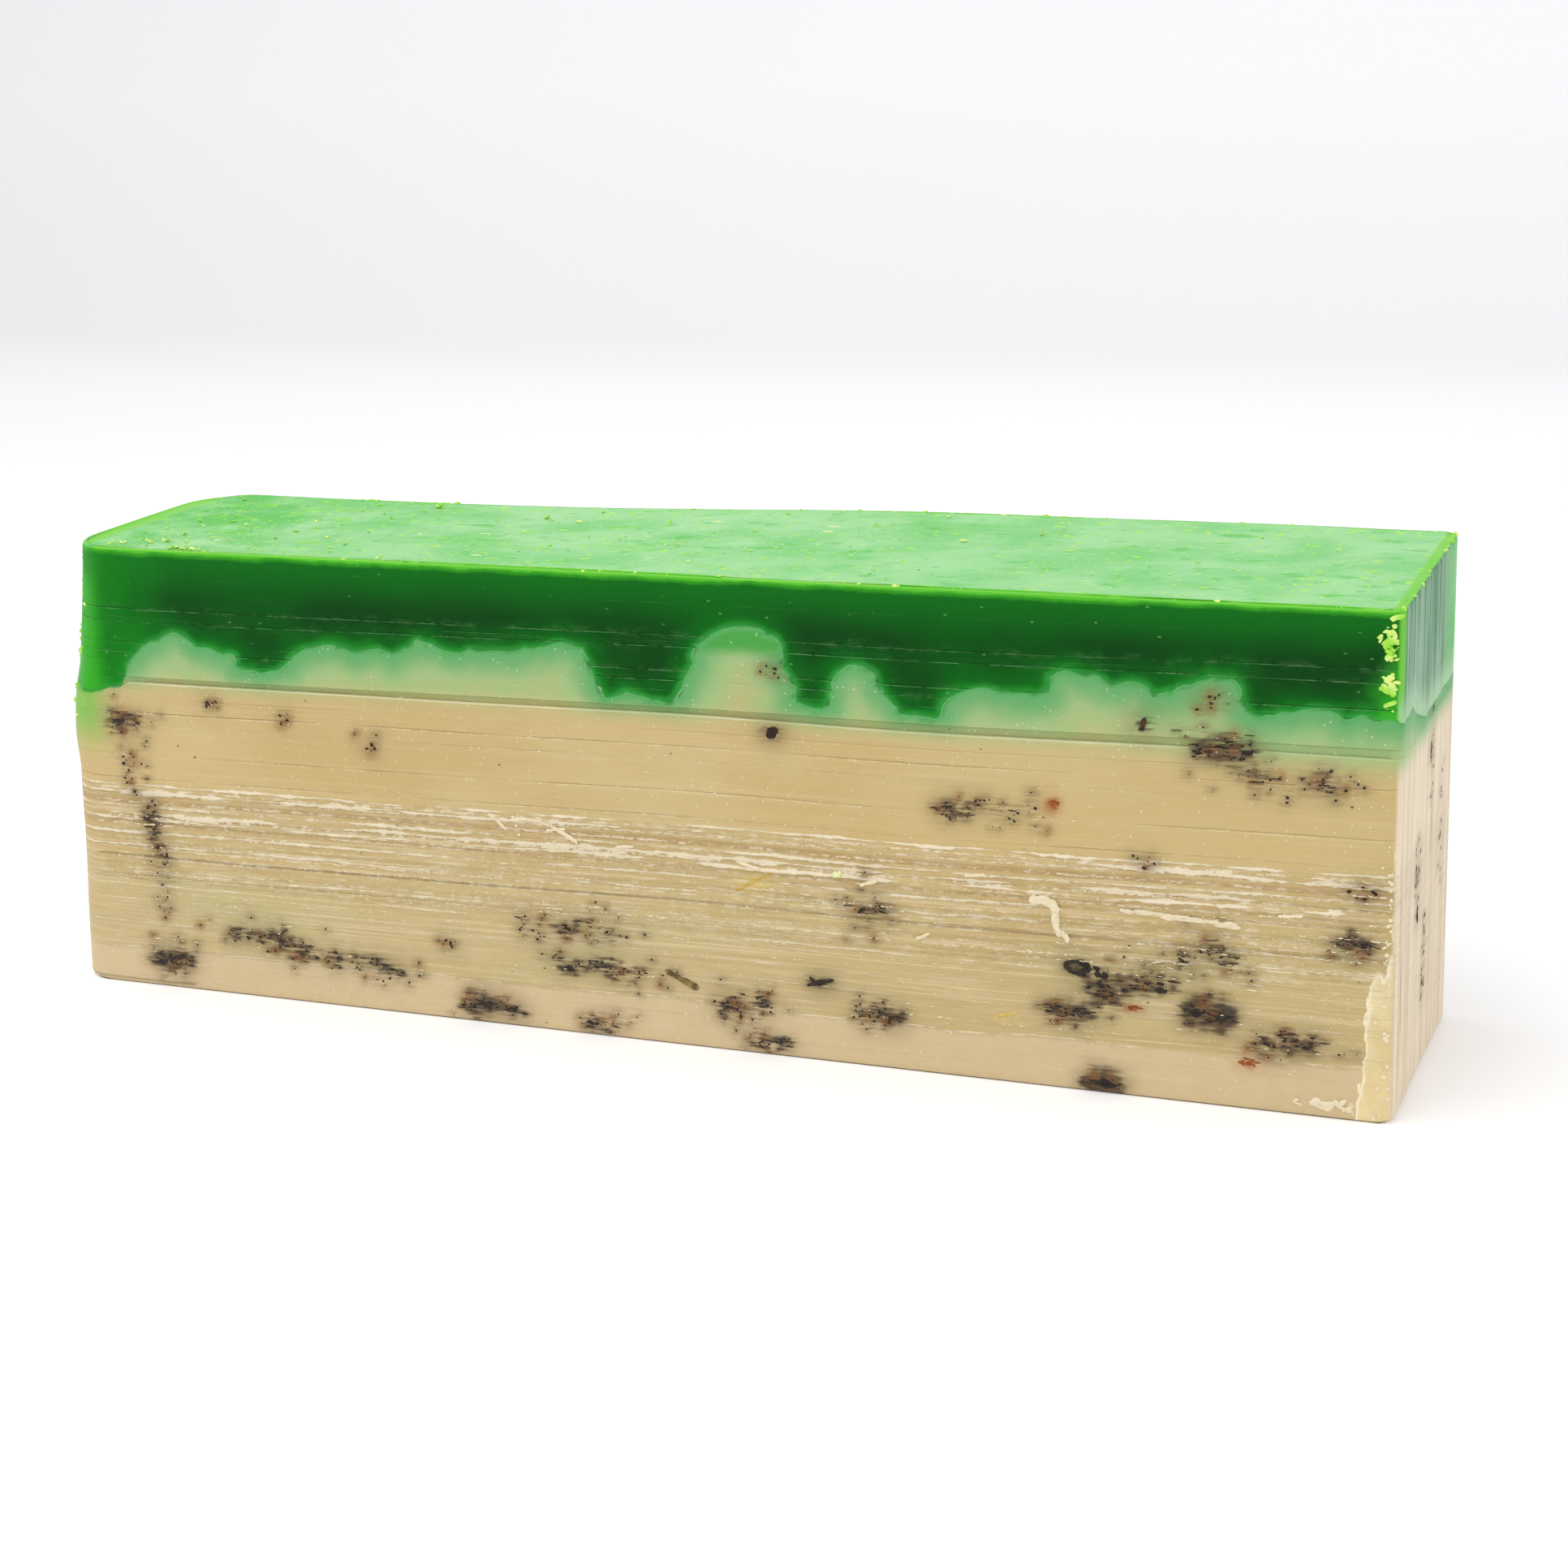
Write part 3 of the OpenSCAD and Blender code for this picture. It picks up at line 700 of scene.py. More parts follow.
c.coat(worn * 0.9, c.mix(c.blots(0.36, 0.64, 110, 3, 0.6, (1, 1, 0.6)), "#ead9aa", "#dec992"))
c.coat(worn * c.ramp(worn_at, 133.4, 132.6) * 0.7, "#f6ecd0")
pour_gap = c.value("pour")
mint_reach = pour_gap + c.drift(7.0, 170, 3, 0.55)
minty = c.ramp(mint_reach, 18.0, 2.0)
mint = c.mix(c.ramp(pour_gap + c.drift(2.5, 240, 2), 6.0, 0.4), "#98ba7a", "#5ca662")
mint = c.mix(c.ramp(level, 74.8, 77.8), mint, "#3a9e3c")
mint = c.mix(c.ramp(pour_gap, 1.0, 0.1) * 0.6, mint, "#50a85c")
c.coat(minty * c.ramp(level + c.ramp(across, 0.05, 0.11) * 2.5, 60.5, 67) * 0.97, mint)
c.coat(c.value("murk") * 0.5, "#688042")
# Lime green along the cream's left edge, fading in from 47 mm up to full at 58 mm.
left_edge_lime = c.ramp(across + c.drift(0.004, 120, 2), -0.1175, -0.1265) * c.ramp(level, 47, 58)
c.coat(left_edge_lime * 0.8, "#68ba3e")
stain, crowd, warm = c.value("stain"), c.value("crowd"), c.value("warm")
smear = c.grain(260, 1.5, 4.0, 0.62)
c.coat(crowd * c.blots(0.2, 0.6, 120, 3, 0.6, (0.6, 1, 1.3)) * 0.72, "#7e704a")
c.coat(stain * c.ramp(smear, 0.3, 0.6) * 0.6, "#685434")
c.coat(c.ramp(crowd * 0.55 + stain * 0.32 + smear, 0.92, 1.26) * 0.85,
       c.mix(c.blots(0.4, 0.6, 260, 3), "#32271f", "#5a422a"))
c.coat(warm * 0.66, "#8e581a")
mottled = c.blots(0.38, 0.62, 300, 3, 0.6, (0.6, 1, 1.2), (0, 0, 3))
c.coat(c.math("MINIMUM", c.value("rust") * 1.6, 1.0) * (mottled * 0.7 + 0.3) * 0.9, "#9e541e")
c.coat(c.value("yellow") * (mottled * 0.6 + 0.4) * 0.7, "#dec468")
c.coat(c.dots(1000, 0.19, 0.22) * 0.6, "#f0e6cc")
c.coat(c.dots(170, 0.055, 0.2, (1, 1, 1.3)) * 0.85, "#54361e")
c.coat(c.dots(105, 0.04, 0.3, (1, 1, 1.2), (2, 0, 0)) * 0.9, "#603c1a")
heights = fine_lines * ridged * 0.6 + streaks * ridged * 0.5 + torn * 0.55 - sunk_and_shaded * 0.4 + c.noise(1500, 3, 0.6) * 0.16
heights = heights - c.line(level, 64.65, 0.5, 0.12) * 0.9 + drag * end_at * 0.5
c.set(Base_Color=c.colour, Roughness=c.ramp(clouds, 0.2, 0.8) * 0.14 + 0.46, Normal=c.bump(0.6, 0.0005, heights),
      Specular_IOR_Level=0.3,
      Subsurface_Weight=0.12, Subsurface_Radius=(1.0, 0.6, 0.3), Subsurface_Scale=0.0018)
add_piece("cream_pour", cream_mesh, "cream_base", c)

# ---------------------------------------------------------------------------------------------
# The green top: clear glycerine soap, almost black-green where it is deep and brighter over the cream lumps.
# Painted glow lights its round left end and right front edge; its lime rim is partly thin burr and partly
# painted highlight, and its pale top is painted sheen over lime specks.
g = Finish("green_soap")
along, across_y, high = g.parts(g.place)
level, pour_gap = g.value("level"), g.value("pour")
face_x, _, face_up = g.facing()
g.colour = g.mix(g.blots(0.36, 0.66, 34, 3, 0.5, (1, 1, 1.7)), "#053e0e", "#054e0e")
near_cream = g.ramp(pour_gap + g.drift(8.0, 110, 3, 0.55), 6.5, 0.2)
g.coat(near_cream * 0.6, "#086c16")
g.coat(g.ramp(pour_gap + g.drift(3.0, 130, 2), 2.6, 0.2) * 0.6, "#188a20")
g.coat(g.ramp(pour_gap + g.drift(1.2, 230, 2), 1.6, 0.15) * 0.8, "#34943e")
g.coat(g.ramp(pour_gap, 0.5, 0.05) * 0.7, "#70be76")
# Painted glow and highlights: the round left end, the lime line along its edge and the green near the right front edge
# are lit up as if light shone through the thin soap there.
left_face_glow = g.ramp(face_x, -0.7, -0.97) * g.blots(0.3, 0.6, 40, 3, 0.55, (1, 1, 1.5))
left_glow = g.ramp(along + g.drift(0.016, 90, 2), -0.098, -0.122)
g.coat(left_glow * 0.75, "#108016")
g.coat(g.ramp(along + g.drift(0.004, 140, 2), -0.1185, -0.1255) * 0.8, "#38ae22")
g.coat(left_face_glow * 0.6, "#14741a")
right_glow = g.ramp(along - (high - 0.070) * 0.35 + g.drift(0.008, 150, 2), 0.1225, 0.1315)
g.coat(right_glow * 0.9, "#38b028")
breaks = g.channels((300, 240), 3, 0.7, (1, 1, 0.3))
spans = g.channels((24, 31), 2, 0.5, (1, 1, 0.1))
green_lines = ((84.9, 0.25), (78.9, 0.8), (77.6, 0.4), (76.6, 0.9), (72.2, 0.85), (70.4, 0.85), (68.6, 0.4))
for n, (rest, strength) in enumerate(green_lines):
    seen = g.ramp(spans[n % 6], 0.32, 0.56) * g.ramp(face_x, -0.97, -0.8)
    g.coat(g.line(level, rest + 0.12, 0.02, 0.12) * seen * strength * 0.8, "#042a10")
    pale = g.ramp(breaks[n % 6], 0.42, 0.6) * seen * strength * 0.6
    g.coat(g.line(level, rest - 0.06, 0.02, 0.1) * pale, "#68a868")
# The front lightens towards its top edge, and the lime rim along that edge is partly the thin burr's own colour and
# partly painted highlight where the round edge catches the light.
rim_gap = level + g.drift(1.6, 150, 3, 0.6)
g.coat(g.ramp(level, 79.5, 89.0) * 0.62, "#107618")
g.coat(g.ramp(rim_gap, 88.4, 89.1) * 0.65, "#3aa222")
g.coat(g.ramp(rim_gap, 89.1, 89.6) * 0.75, "#5ec030")
g.coat(g.value("murk") * g.blots(0.3, 0.6, 190, 3, 0.6) * 0.7, "#344e22")
# The top face: pale mint that is painted sheen, the bright room reflected at a low angle, with greener mottling, a lime
# border and lime specks laid over it.
top_sheen_and_specks = g.mix(g.blots(0.34, 0.62, 48, 4, 0.6, (1, 1.6, 1)), "#7ac674", "#98d290")
left_top = g.ramp(along, -0.05, -0.115) * g.blots(0.36, 0.6, 80, 3, 0.6, shift=(3, 1, 0))
top_sheen_and_specks = g.mix(left_top * 0.85, top_sheen_and_specks, "#54b84a")
top_sheen_and_specks = g.mix(g.blots(0.56, 0.68, 240, 4, 0.7, (0.7, 1.4, 1)) * 0.7, top_sheen_and_specks, "#54ba4a")
top_sheen_and_specks = g.mix(g.dots(620, 0.28, 0.4, (0.8, 1.3, 1)) * g.blots(0.34, 0.5, 36, 3), top_sheen_and_specks, "#bce63c")
top_sheen_and_specks = g.mix(g.blots(0.56, 0.66, 150, 5, 0.75, (0.6, 1.3, 1)) * g.ramp(along, 0.09, -0.08) * 0.75, top_sheen_and_specks, "#80d434")
top_sheen_and_specks = g.mix(g.dots(300, 0.28, 0.26, (0.8, 1.5, 1)) * 0.9, top_sheen_and_specks, "#b0e038")
top_sheen_and_specks = g.mix(g.dots(170, 0.2, 0.07, (0.7, 1.6, 1)) * 0.9, top_sheen_and_specks, "#d8e4aa")
top_sheen_and_specks = g.mix(g.dots(90, 0.26, 0.1, (0.6, 1.4, 1)) * 0.6, top_sheen_and_specks, "#46b438")
border = g.ramp(g.math("ABSOLUTE", across_y) + g.drift(0.0016, 160, 3), 0.0263, 0.0274)
border = border + g.ramp(along, 0.1292, 0.1306) + g.ramp(along, -0.1225, -0.1265)
top_sheen_and_specks = g.mix(g.ramp(border, 0.1, 0.8) * 0.9, top_sheen_and_specks, "#76c83a")
# Painted sheen and specks on the faces that look up.
g.coat(g.ramp(face_up, 0.5, 0.8), top_sheen_and_specks)
# The cut right end: greyish green with the blade's drag streaks; its whitish cast is partly painted reflection.
end_drag = g.noise(640, 4, 0.65, (1, 1, 0.02), (0, 2, 0))
end_green = g.mix(g.ramp(end_drag, 0.36, 0.6), "#8cac90", "#387a4a")
end_green = g.mix(g.ramp(across_y, 0.010, 0.026) * 0.8, end_green, "#68c860")
end_green = g.mix(g.ramp(across_y, -0.0245, -0.0272), end_green, "#70c442")
end_green = g.mix(g.ramp(pour_gap + g.drift(4, 160, 3), 6, 0.5) * 0.7, end_green, "#aacea0")
g.coat(g.ramp(face_x, 0.5, 0.8), end_green)
scuffs = g.dots(900, 0.2, 0.12, (0.5, 1, 1)) * g.blots(0.45, 0.6, 60, 3, 0.6)
g.coat(scuffs * g.ramp(face_up, 0.5, 0.2) * 0.6, "#78b068")
torn_g = g.value("lip") * g.blots(0.5, 0.62, 1000, 4, 0.7, (0.3, 0.3, 0.8))
g.coat(torn_g * 0.6, "#96c884")
fine = g.noise(1300, 2, 0.6, (0.03, 0.03, 1))
heights = fine * 0.35 + g.noise(220, 3, 0.55) * 0.5 + torn_g * 0.5 + end_drag * g.ramp(face_x, 0.5, 0.8) * 0.8
g.set(Base_Color=g.colour, Roughness=g.blots(0.3, 0.7, 70, 3, 0.6) * 0.18 + 0.34, Normal=g.bump(0.22, 0.0003, heights),
      Specular_IOR_Level=0.08, Subsurface_Weight=0.05, Subsurface_Radius=(0.4, 1.0, 0.4), Subsurface_Scale=0.002)
add_piece("green_pour", green_mesh, "green_top", g)

# ---------------------------------------------------------------------------------------------
# Dried leaf in the cream: dark ragged flakes that the planer has dragged along each face, packed
# into clumps with loose bits round them. Every clump is a piece, standing in its own part of a face.
ragged_bits = bpy.data.node_groups.new("ragged_bits", "GeometryNodeTree")
ragged_bits.is_modifier = True
for name, kind in (("Spots", "Geometry"), ("Facets", "Int"), ("Raggedness", "Float"), ("Coarseness", "Float"),
                   ("Seed", "Float"), ("Finish", "Material"), ("Bits", "Geometry")):
    ragged_bits.interface.new_socket(name, in_out="OUTPUT" if name == "Bits" else "INPUT",
                                     socket_type="NodeSocket" + kind)


def tree_node(kind, settings=None, out=0, **links):
    made = ragged_bits.nodes.new(kind)
    for key, value in (settings or {}).items():
        setattr(made, key, value)
    for key, value in links.items():
        socket = made.inputs[int(key[1:]) if key[1:].isdigit() else key]
        if isinstance(value, bpy.types.NodeSocket):
            ragged_bits.links.new(value, socket)
        else:
            socket.default_value = value
    return made.outputs[out]


def stored(name, kind="FLOAT_VECTOR"):
    return tree_node("GeometryNodeInputNamedAttribute", {"data_type": kind}, Name=name)


given = ragged_bits.nodes.new("NodeGroupInput").outputs
ball = tree_node("GeometryNodeMeshIcoSphere", Radius=0.001, Subdivisions=given["Facets"])
turned = tree_node("FunctionNodeEulerToRotation", Euler=stored("turn"))
placed = tree_node("GeometryNodeInstanceOnPoints", Points=given["Spots"], Instance=ball, Rotation=turned,
                   Scale=stored("size"))
solid = tree_node("GeometryNodeRealizeInstances", Geometry=placed)
where = tree_node("ShaderNodeVectorMath", {"operation": "SCALE"}, _0=tree_node("GeometryNodeInputPosition"),
                  Scale=given["Coarseness"])
wobble = tree_node("ShaderNodeTexNoise", {"noise_dimensions": "4D"}, "Color", Vector=where, W=given["Seed"],
                   Scale=1.0, Detail=3.0, Roughness=0.65)
centred = tree_node("ShaderNodeVectorMath", {"operation": "SUBTRACT"}, _0=wobble, _1=(0.5, 0.5, 0.5))
amount = tree_node("ShaderNodeMath", {"operation": "MULTIPLY"}, _0=stored("bulk", "FLOAT"), _1=given["Raggedness"])
pushed = tree_node("ShaderNodeVectorMath", {"operation": "SCALE"}, _0=centred, Scale=amount)
moved = tree_node("GeometryNodeSetPosition", Geometry=solid, Offset=pushed)
finished = tree_node("GeometryNodeSetMaterial", Geometry=moved, Material=given["Finish"])
ragged_bits.links.new(finished, ragged_bits.nodes.new("NodeGroupOutput").inputs[0])
input_names = {item.name: item.identifier for item in ragged_bits.interface.items_tree if item.in_out == "INPUT"}


def ragged_mesh(name, spots, turns, sizes, finish, facets=2, ragged=1.6, coarse=1500.0, seed=1.0):
    """One closed ragged bit at each spot, turned and sized, in millimetres, as a plain mesh."""
    cloud = bpy.data.meshes.new(name + "_spots")
    cloud.from_pydata([tuple(p) for p in np.asarray(spots) * MM], [], [])
    write_values(cloud, "turn", turns, "FLOAT_VECTOR")
    write_values(cloud, "size", sizes, "FLOAT_VECTOR")
    write_values(cloud, "bulk", np.asarray(sizes, dtype=float).mean(axis=1) * MM)
    carrier = bpy.data.objects.new(name + "_spots", cloud)
    bpy.context.collection.objects.link(carrier)
    modifier = carrier.modifiers.new("bits", "NODES")
    modifier.node_group = ragged_bits
    for key, value in (("Facets", facets), ("Raggedness", ragged), ("Coarseness", coarse), ("Seed", float(seed)),
                       ("Finish", finish.material)):
        modifier[input_names[key]] = value
    carrier.update_tag()
    mesh = bpy.data.meshes.new_from_object(carrier.evaluated_get(bpy.context.evaluated_depsgraph_get()))
    mesh.name = name
    bpy.data.objects.remove(carrier)
    mesh.shade_smooth()
    return mesh


cream_faces, green_faces = ray_tree(cream_mesh), ray_tree(green_mesh)


def meet(start, way, first, second):
    """Where a straight line meets the first of two surfaces, or the second where it misses that."""
    start, way = Vector(start) * MM, Vector(way)
    return np.array(first.ray_cast(start, way)[0] or second.ray_cast(start, way)[0]) / MM


def on_face(face, along, up):
    """The point of the loaf's own surface at this place on its front, back or right end."""
    if face == END:
        return meet((160, along, up), (-1, 0, 0), cream_faces, green_faces)
    out = -1 if face == FRONT else 1
    return meet((along, 60 * out, up), (0, -out, 0), cream_faces, green_faces)


def dry_finish(name, dark, brown, warm, warm_share):
    leaf = Finish(name)
    leaf.colour = leaf.mix(leaf.blots(0.4, 0.62, 420, 3, 0.6), dark, brown)
    leaf.coat(leaf.blots(0.62, 0.7, 310, 2, 0.5, shift=(2, 0, 1)) * warm_share, warm)
    leaf.set(Base_Color=leaf.colour, Roughness=leaf.noise(900, 2) * 0.3 + 0.45, Specular_IOR_Level=0.25,
             Normal=leaf.bump(0.5, 0.0002, leaf.noise(2600, 3, 0.6)))
    return leaf


def lay_piece(name, node, bits, finish, proud, thick, **look):
    """A piece of bits laid flat in a face, each (face, along, up, half length, half height, tilt)."""
    spots, turns, sizes = [], [], []
    for face, along, up, length, height, tilt in bits:
        point = on_face(face, along, up)
        if face == END:
            spots.append(point + (proud, 0, 0)), sizes.append((thick, length, height)), turns.append((tilt, 0, 0))
        else:
            spots.append(point + (0, -proud if face == FRONT else proud, 0))
            sizes.append((length, thick, height)), turns.append((0, tilt, 0))
    add_piece(name, ragged_mesh(name, spots, turns, sizes, finish, **look), node, finish)


dried_leaf = dry_finish("dried_leaf", "#221d1a", "#362c23", "#443426", 0.35)
for number, node in enumerate(leaf_nodes):
    lay_piece(node + "_flakes", node, leaf_layout[node], dried_leaf, -0.03, 0.1, ragged=1.3, seed=number * 3.7)

# ---------------------------------------------------------------------------------------------
# The bits of plant that show on their own: a pale stalk with dark ends, one flat leaf, a leaf curled
# into a ring, and two seeds. Each lies in the front face, cut level with it by the planer.


def middle(node):
    low, high = box_mm(node)
    return (low + high) / 2, (high - low) / 2


pale_leaf = dry_finish("pale_leaf", "#5c4a2c", "#96804e", "#3a2a1a", 0.8)
spot, half = middle("leaf_stalk")
lean = math.atan2(-half[2] * 0.75, half[0])
bits = [(FRONT, spot[0] + half[0] * (t * 0.68 + 0.05), spot[2] - half[2] * 0.56 * t, 0.8, 0.5 + 0.22 * (t > 0), -lean)
        for t in np.linspace(-1, 1, 9)]
lay_piece("leaf_stalk_bark", "leaf_stalk", bits, pale_leaf, 0.06, 0.3, facets=3, ragged=0.9, coarse=900.0, seed=2.0)
spot, half = middle("single_leaf")
bits = [(FRONT, spot[0] + half[0] * t * 0.7, spot[2] + half[2] * 0.5 * t, half[0] * 0.42,
         half[2] * (0.62 - 0.25 * abs(t)), -0.32) for t in (-1, -0.5, 0, 0.5, 1)]
bits.append((FRONT, spot[0] - 1.6, spot[2] + 0.5, 0.7, 0.3, 0.6))
lay_piece("single_leaf_blade", "single_leaf", bits, dried_leaf, 0.04, 0.22, facets=3, ragged=0.8, seed=5.0)
spot, half = middle("curled_leaf")
bits = [(FRONT, spot[0] + half[0] * 1.1 * (1 + 0.12 * math.sin(3 * t)) * math.cos(t),
         spot[2] + half[2] * 0.56 * math.sin(t), 0.62, 0.34 + 0.22 * (math.cos(t) > 0.2), -t - math.pi / 2)
        for t in np.linspace(0.5, 2 * math.pi - 0.4, 24)]
draw = np.random.default_rng(55)
bits += [(FRONT, spot[0] + draw.normal(3.4, 1.0), spot[2] + draw.normal(-0.7, 0.5), draw.uniform(0.3, 0.8),
          draw.uniform(0.2, 0.5), draw.normal(0.2, 0.3)) for _ in range(12)]
lay_piece("curled_leaf_rim", "curled_leaf", bits, dried_leaf, 0.05, 0.24, facets=3, ragged=1.3, seed=6.0)
seed_skin = dry_finish("seed", "#2c1812", "#4c2c1c", "#6e4222", 0.6)
for node in ("round_seed", "upright_seed"):
    spot, half = middle(node)
    bits = [(FRONT, spot[0] + half[0] * x, spot[2] + half[2] * z, half[0] * length, half[2] * height, tilt)
            for x, z, length, height, tilt in ((0, 0, 0.62, 0.66, 0.1), (0.3, 0.25, 0.5, 0.5, 0.4),
                                               (-0.3, -0.35, 0.4, 0.35, 0.9))]
    lay_piece(node + "_skin", node, bits, seed_skin, 0.0, 0.35, facets=4, ragged=0.9, coarse=1000.0, seed=9.0)

# ---------------------------------------------------------------------------------------------
# Petal pieces: three soaked rust-orange ones and two yellow ones, thin, torn and flat in the face.
rust_skin = dry_finish("rust_petal", "#683814", "#96521e", "#b26e2e", 0.6)
for number, node in enumerate(rust_nodes):
    spot, half = middle(node)
    draw = np.random.default_rng(60 + number)
    bits = [(FRONT, spot[0] + half[0] * draw.uniform(-0.6, 0.6), spot[2] + half[2] * draw.uniform(-0.4, 0.4),
             draw.uniform(0.6, 1.2), draw.uniform(0.22, 0.4), draw.normal(0,
                                                                          0.15)) for _ in range(int(3 + 2 * half[0]))]
    lay_piece(node + "_scraps", node, bits, rust_skin, -0.03, 0.08, ragged=0.8, coarse=900.0, seed=20 + number)
yellow_skin = dry_finish("yellow_petal", "#c4a04a", "#dec26c", "#b28436", 0.6)
for number, (node, lean, climb, count) in enumerate((("yellow_petal", 0.3, 0.5, 6), ("yellow_strip", 0.5, 0.8, 10))):
    spot, half = middle(node)
    bits = [(FRONT, spot[0] + half[0] * t * 0.85, spot[2] + half[2] * t * climb, 0.62, 0.2, -lean)
            for t in np.linspace(-1, 1, count)]
    lay_piece(node + "_scraps", node, bits, yellow_skin, -0.02, 0.16, ragged=1.4, seed=30 + number)

# ---------------------------------------------------------------------------------------------
# Shavings of dry pale cream that the blade left behind: short slivers along the edges of the planed
# strips, two curls, a few crumbs, and the chipped right front corner.


def crumbly_finish(name, pale_share, colours, rough, shine, fineness):
    made = Finish(name)
    made.set(Base_Color=made.mix(pale_share(made), *colours), Roughness=made.noise(*rough) * 0.2 + shine[0],
             Specular_IOR_Level=shine[1], Normal=made.bump(0.4, 0.0002, made.noise(fineness, 2)))
    return made


shaving = crumbly_finish("cream_shaving", lambda made: made.noise(700, 3, 0.6), ("#decda4", "#eee2c6"), (500, 2),
                         (0.5, 0.3), 2400)
for face, way, most, seed in ((FRONT, 1, 1650, 70), (BACK, -1, 800, 71)):
    draw = np.random.default_rng(seed)
    slivers = []
    for k in range(strip_count):
        along = draw.uniform(-122, 131, int(300 * lip_strength[k]))
        here = smooth(-0.1, 0.9, lip_patch[k](along * way) + 0.35 * lip_noise[k](along * way))
        along = along[draw.random(len(along)) < here]
        size = draw.lognormal(-1.05, 0.5, len(along)) * (1.25 if 36 < strip_edges[k] < 43 else 0.85)
        for x, z, length in zip(along, strip_height(k, along * way), size):
            slivers.append((face, x, z + draw.normal(0, 0.08), min(length, 1.6), draw.uniform(0.05, 0.13),
                            draw.normal(0, 0.12)))
    slivers = [slivers[n] for n in draw.permutation(len(slivers))[:most]]
    lay_piece("torn_slivers_" + face, None, [b for b in slivers if 1 < b[2] < 64], shaving, 0.05, 0.12,
              ragged=1.7, seed=40.0)
spot, half = middle("cream_curl_mid")
curl = [(FRONT, spot[0] - half[0] + 2 * half[0] * t,
         spot[2] + half[2] * (0.55 - 1.5 * t + 0.9 * math.sin(3.6 * t)) * 0.6,
         0.6, 0.28 + 0.12 * math.sin(9 * t), 0.5 - 0.8 * math.cos(3.6 * t)) for t in np.linspace(0, 1, 24)]
curl += [(FRONT, spot[0] - half[0] + 1.0 + 0.5 * t, spot[2] + 1.6 - 1.7 * t, 0.3, 0.34, 0.9) for t in range(3)]
curl_look = dict(facets=3, ragged=1.5, coarse=1100.0)
lay_piece("cream_curl_mid_shaving", "cream_curl_mid", curl, shaving, 0.15, 0.22, seed=3.0, **curl_look)
spot, half = middle("cream_curl_right")
curl = []
draw = np.random.default_rng(84)
for t in np.linspace(0, 1, 34):
    bend = math.pi * (0.15 + 1.05 * t)
    curl.append((FRONT, spot[0] - 2.2 + 5.4 * t - 0.9 * math.cos(bend * 2) + draw.normal(0, 0.12),
                 spot[2] + 2.6 - 5.6 * t * t + 0.9 * math.sin(bend * 1.6) + draw.normal(0, 0.12),
                 draw.uniform(0.5, 1.0), (0.95 - 0.5 * t) * draw.uniform(0.6, 1.1), 0.25 + 1.15 * t))
lay_piece("cream_curl_right_shaving", "cream_curl_right", curl, shaving, 0.15, 0.22, seed=4.0, **curl_look)
spot, half = middle("cream_chips")
draw = np.random.default_rng(81)
chips = [(BACK, x, draw.uniform(36, 41), draw.uniform(0.3, 0.9), draw.uniform(0.2, 0.4), draw.normal(0, 0.4))
         for x in draw.uniform(spot[0] - half[0], spot[0] + half[0], 26)]
lay_piece("cream_chips_back", "cream_chips", chips, shaving, 0.15, 0.25, ragged=1.5, seed=8.0)
loose = [(FRONT, 130.9 - draw.gamma(1.2, 0.9) * (1 - up / 60), up, draw.uniform(0.2, 0.5), draw.uniform(0.15, 0.45),
          draw.uniform(-1.2, 1.2)) for up in draw.uniform(1, 50, 42)]
loose += [(FRONT, x, draw.uniform(1.8, 3.2), draw.uniform(0.6, 1.5), draw.uniform(0.25, 0.55), draw.normal(0, 0.3))
          for x in draw.normal(121, 2.6, 16)]
loose += [(FRONT, 85.5 + 18.5 * t, 34.7 - 0.9 * t - abs(draw.normal(0, 0.22)), draw.uniform(1.3, 2.4),
           draw.uniform(0.25, 0.6), draw.normal(0.04, 0.05)) for t in np.linspace(0, 1, 24)]
for x, z, length, lean in ((-10, 38.2, 2.6, 0.1), (15, 36.6, 3.2, -0.2), (38, 35.4, 2.2, 0.3), (58, 38.6, 3.0, 0.1),
                           (-36, 41.0, 2.6, -0.9), (-24, 40.4, 3.0, 0.15), (114, 36.2, 3.4, 0.1), (48, 26.2, 1.6, 0.5)):
    loose += [(FRONT, x + length * t, z + length * t * lean, 0.55, 0.34, -lean) for t in np.linspace(-0.5, 0.5, 6)]
lay_piece("loose_shavings", None, loose, shaving, 0.08, 0.2, ragged=1.6, seed=11.0)

# ---------------------------------------------------------------------------------------------
# Crumbs of green soap: lime where they are thin, stuck along the top edges, down the right front
# corner and here and there on the top, with one pale crumb lower on the front.
crumb = crumbly_finish("green_crumb", lambda made: made.blots(0.36, 0.64, 260, 3), ("#96dc34", "#def08c"), (400, 2),
                       (0.4, 0.25), 2200)
draw = np.random.default_rng(90)
spots, sizes, turns = [], [], []


def drop_crumb(x, y, z, size, flat=0.6):
    spots.append((x, y, z + top_rise(x, y, z))), turns.append(tuple(draw.uniform(-0.6, 0.6, 3)))
    sizes.append((size * draw.uniform(0.8, 1.9), size * draw.uniform(0.6, 1.0), size * flat))


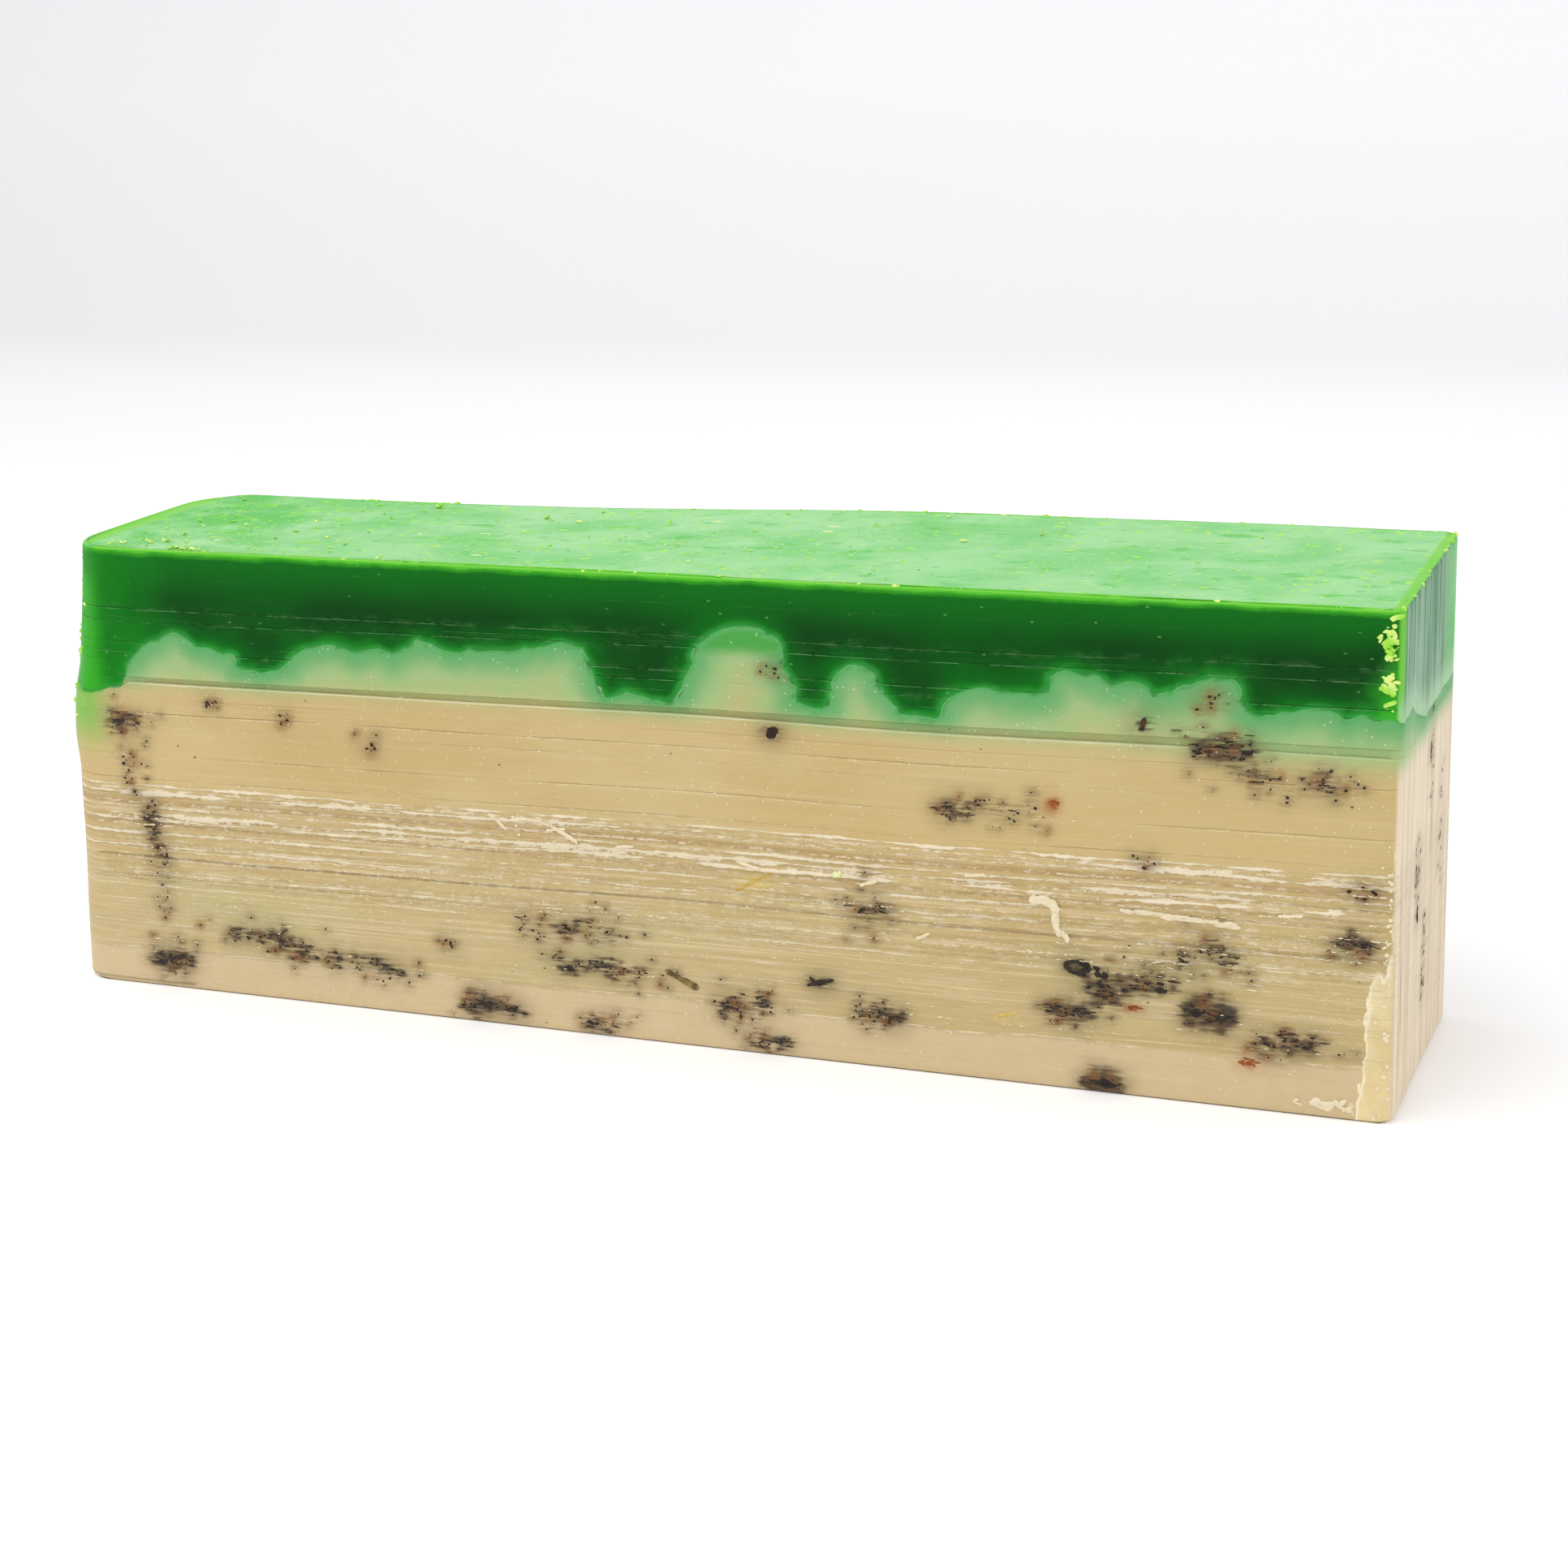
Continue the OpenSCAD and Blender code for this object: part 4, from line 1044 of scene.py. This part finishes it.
for x in draw.uniform(-118, 131, 210):
    drop_crumb(x, -27.45 + abs(draw.normal(0, 0.25)), 89.75 + draw.normal(0, 0.12), draw.lognormal(-1.75, 0.45))
for x in draw.uniform(-118, 130, 210):
    drop_crumb(x, 27.5 - abs(draw.normal(0, 0.3)), 89.75 + draw.normal(0, 0.12), draw.lognormal(-1.45, 0.45))
for y in draw.uniform(-27, 27, 60):
    drop_crumb(131.4, y, 89.7 + draw.normal(0, 0.12), draw.lognormal(-1.7, 0.45))
for z in np.concatenate([draw.uniform(50, 88, 44), draw.normal(67, 5, 26)]):
    y = -27 + abs(draw.normal(6.0, 3.2))
    x = meet((-170, y, z), (1, 0, 0), green_faces, cream_faces)[0]
    drop_crumb(x + 0.05, y, z, draw.lognormal(-1.15, 0.4), 0.9)
for z in draw.uniform(73, 89, 16):
    drop_crumb(130.9 - abs(draw.normal(0, 1.2)), -27.85, z, draw.lognormal(-1.45, 0.45))
for z in np.concatenate([draw.normal(84.8, 1.6, 20), draw.normal(77.4, 0.9, 12)]):
    spots.append((130.4 - abs(draw.normal(0, 1.1)), -27.9, min(z, 89.2))), turns.append((0, draw.uniform(-1, 1), 0))
    sizes.append((draw.uniform(0.35, 0.9), 0.2, draw.uniform(0.3, 0.7)))
for x, y, size in ((-72.3, 22.9, 1.1), (-44.6, 17.1, 0.7), (45.9, 6.0, 0.8), (-117.6, -22.6, 0.8), (-103, -25.1, 1.1),
                   (-101, -25.6, 0.9), (-98.5, -26.2, 0.8), (-112, -21, 0.6), (-109, -19.5, 0.6)):
    for n in range(5):
        drop_crumb(x + draw.normal(0, size * 0.8), y + draw.normal(0, size * 0.5), 90.05,
                   size * draw.uniform(0.25, 0.6), 0.25)
for n in range(340):
    x = -120 + 240 * draw.beta(0.8, 1.9)
    drop_crumb(x, draw.uniform(-26, 26), 89.97, draw.lognormal(-1.7, 0.45), 0.35)
crumbs_mesh = ragged_mesh("green_crumbs_scattered", spots, turns, sizes, crumb, seed=12.0)
add_piece("green_crumbs_scattered", crumbs_mesh, "green_crumbs", crumb)
pale = Finish("pale_crumb")
pale.set(Base_Color=pale.mix(pale.noise(500, 3), "#cee284", "#ececba"), Roughness=pale.noise(400, 2) * 0.2 + 0.45)
spot, half = middle("pale_crumb")
spots = [spot + (0, 0.35, 0), spot + (0.5, 0.45, 0.3), spot + (-0.4, 0.4, -0.3)]
sizes = [(0.75, 0.45, 0.55), (0.4, 0.3, 0.4), (0.5, 0.3, 0.3)]
pale_mesh = ragged_mesh("pale_crumb_bit", spots, [(0.2, 0.3, 0.1)] * 3, sizes, pale, 3, 1.2, 1300.0, 13.0)
add_piece("pale_crumb_bit", pale_mesh, "pale_crumb", pale)
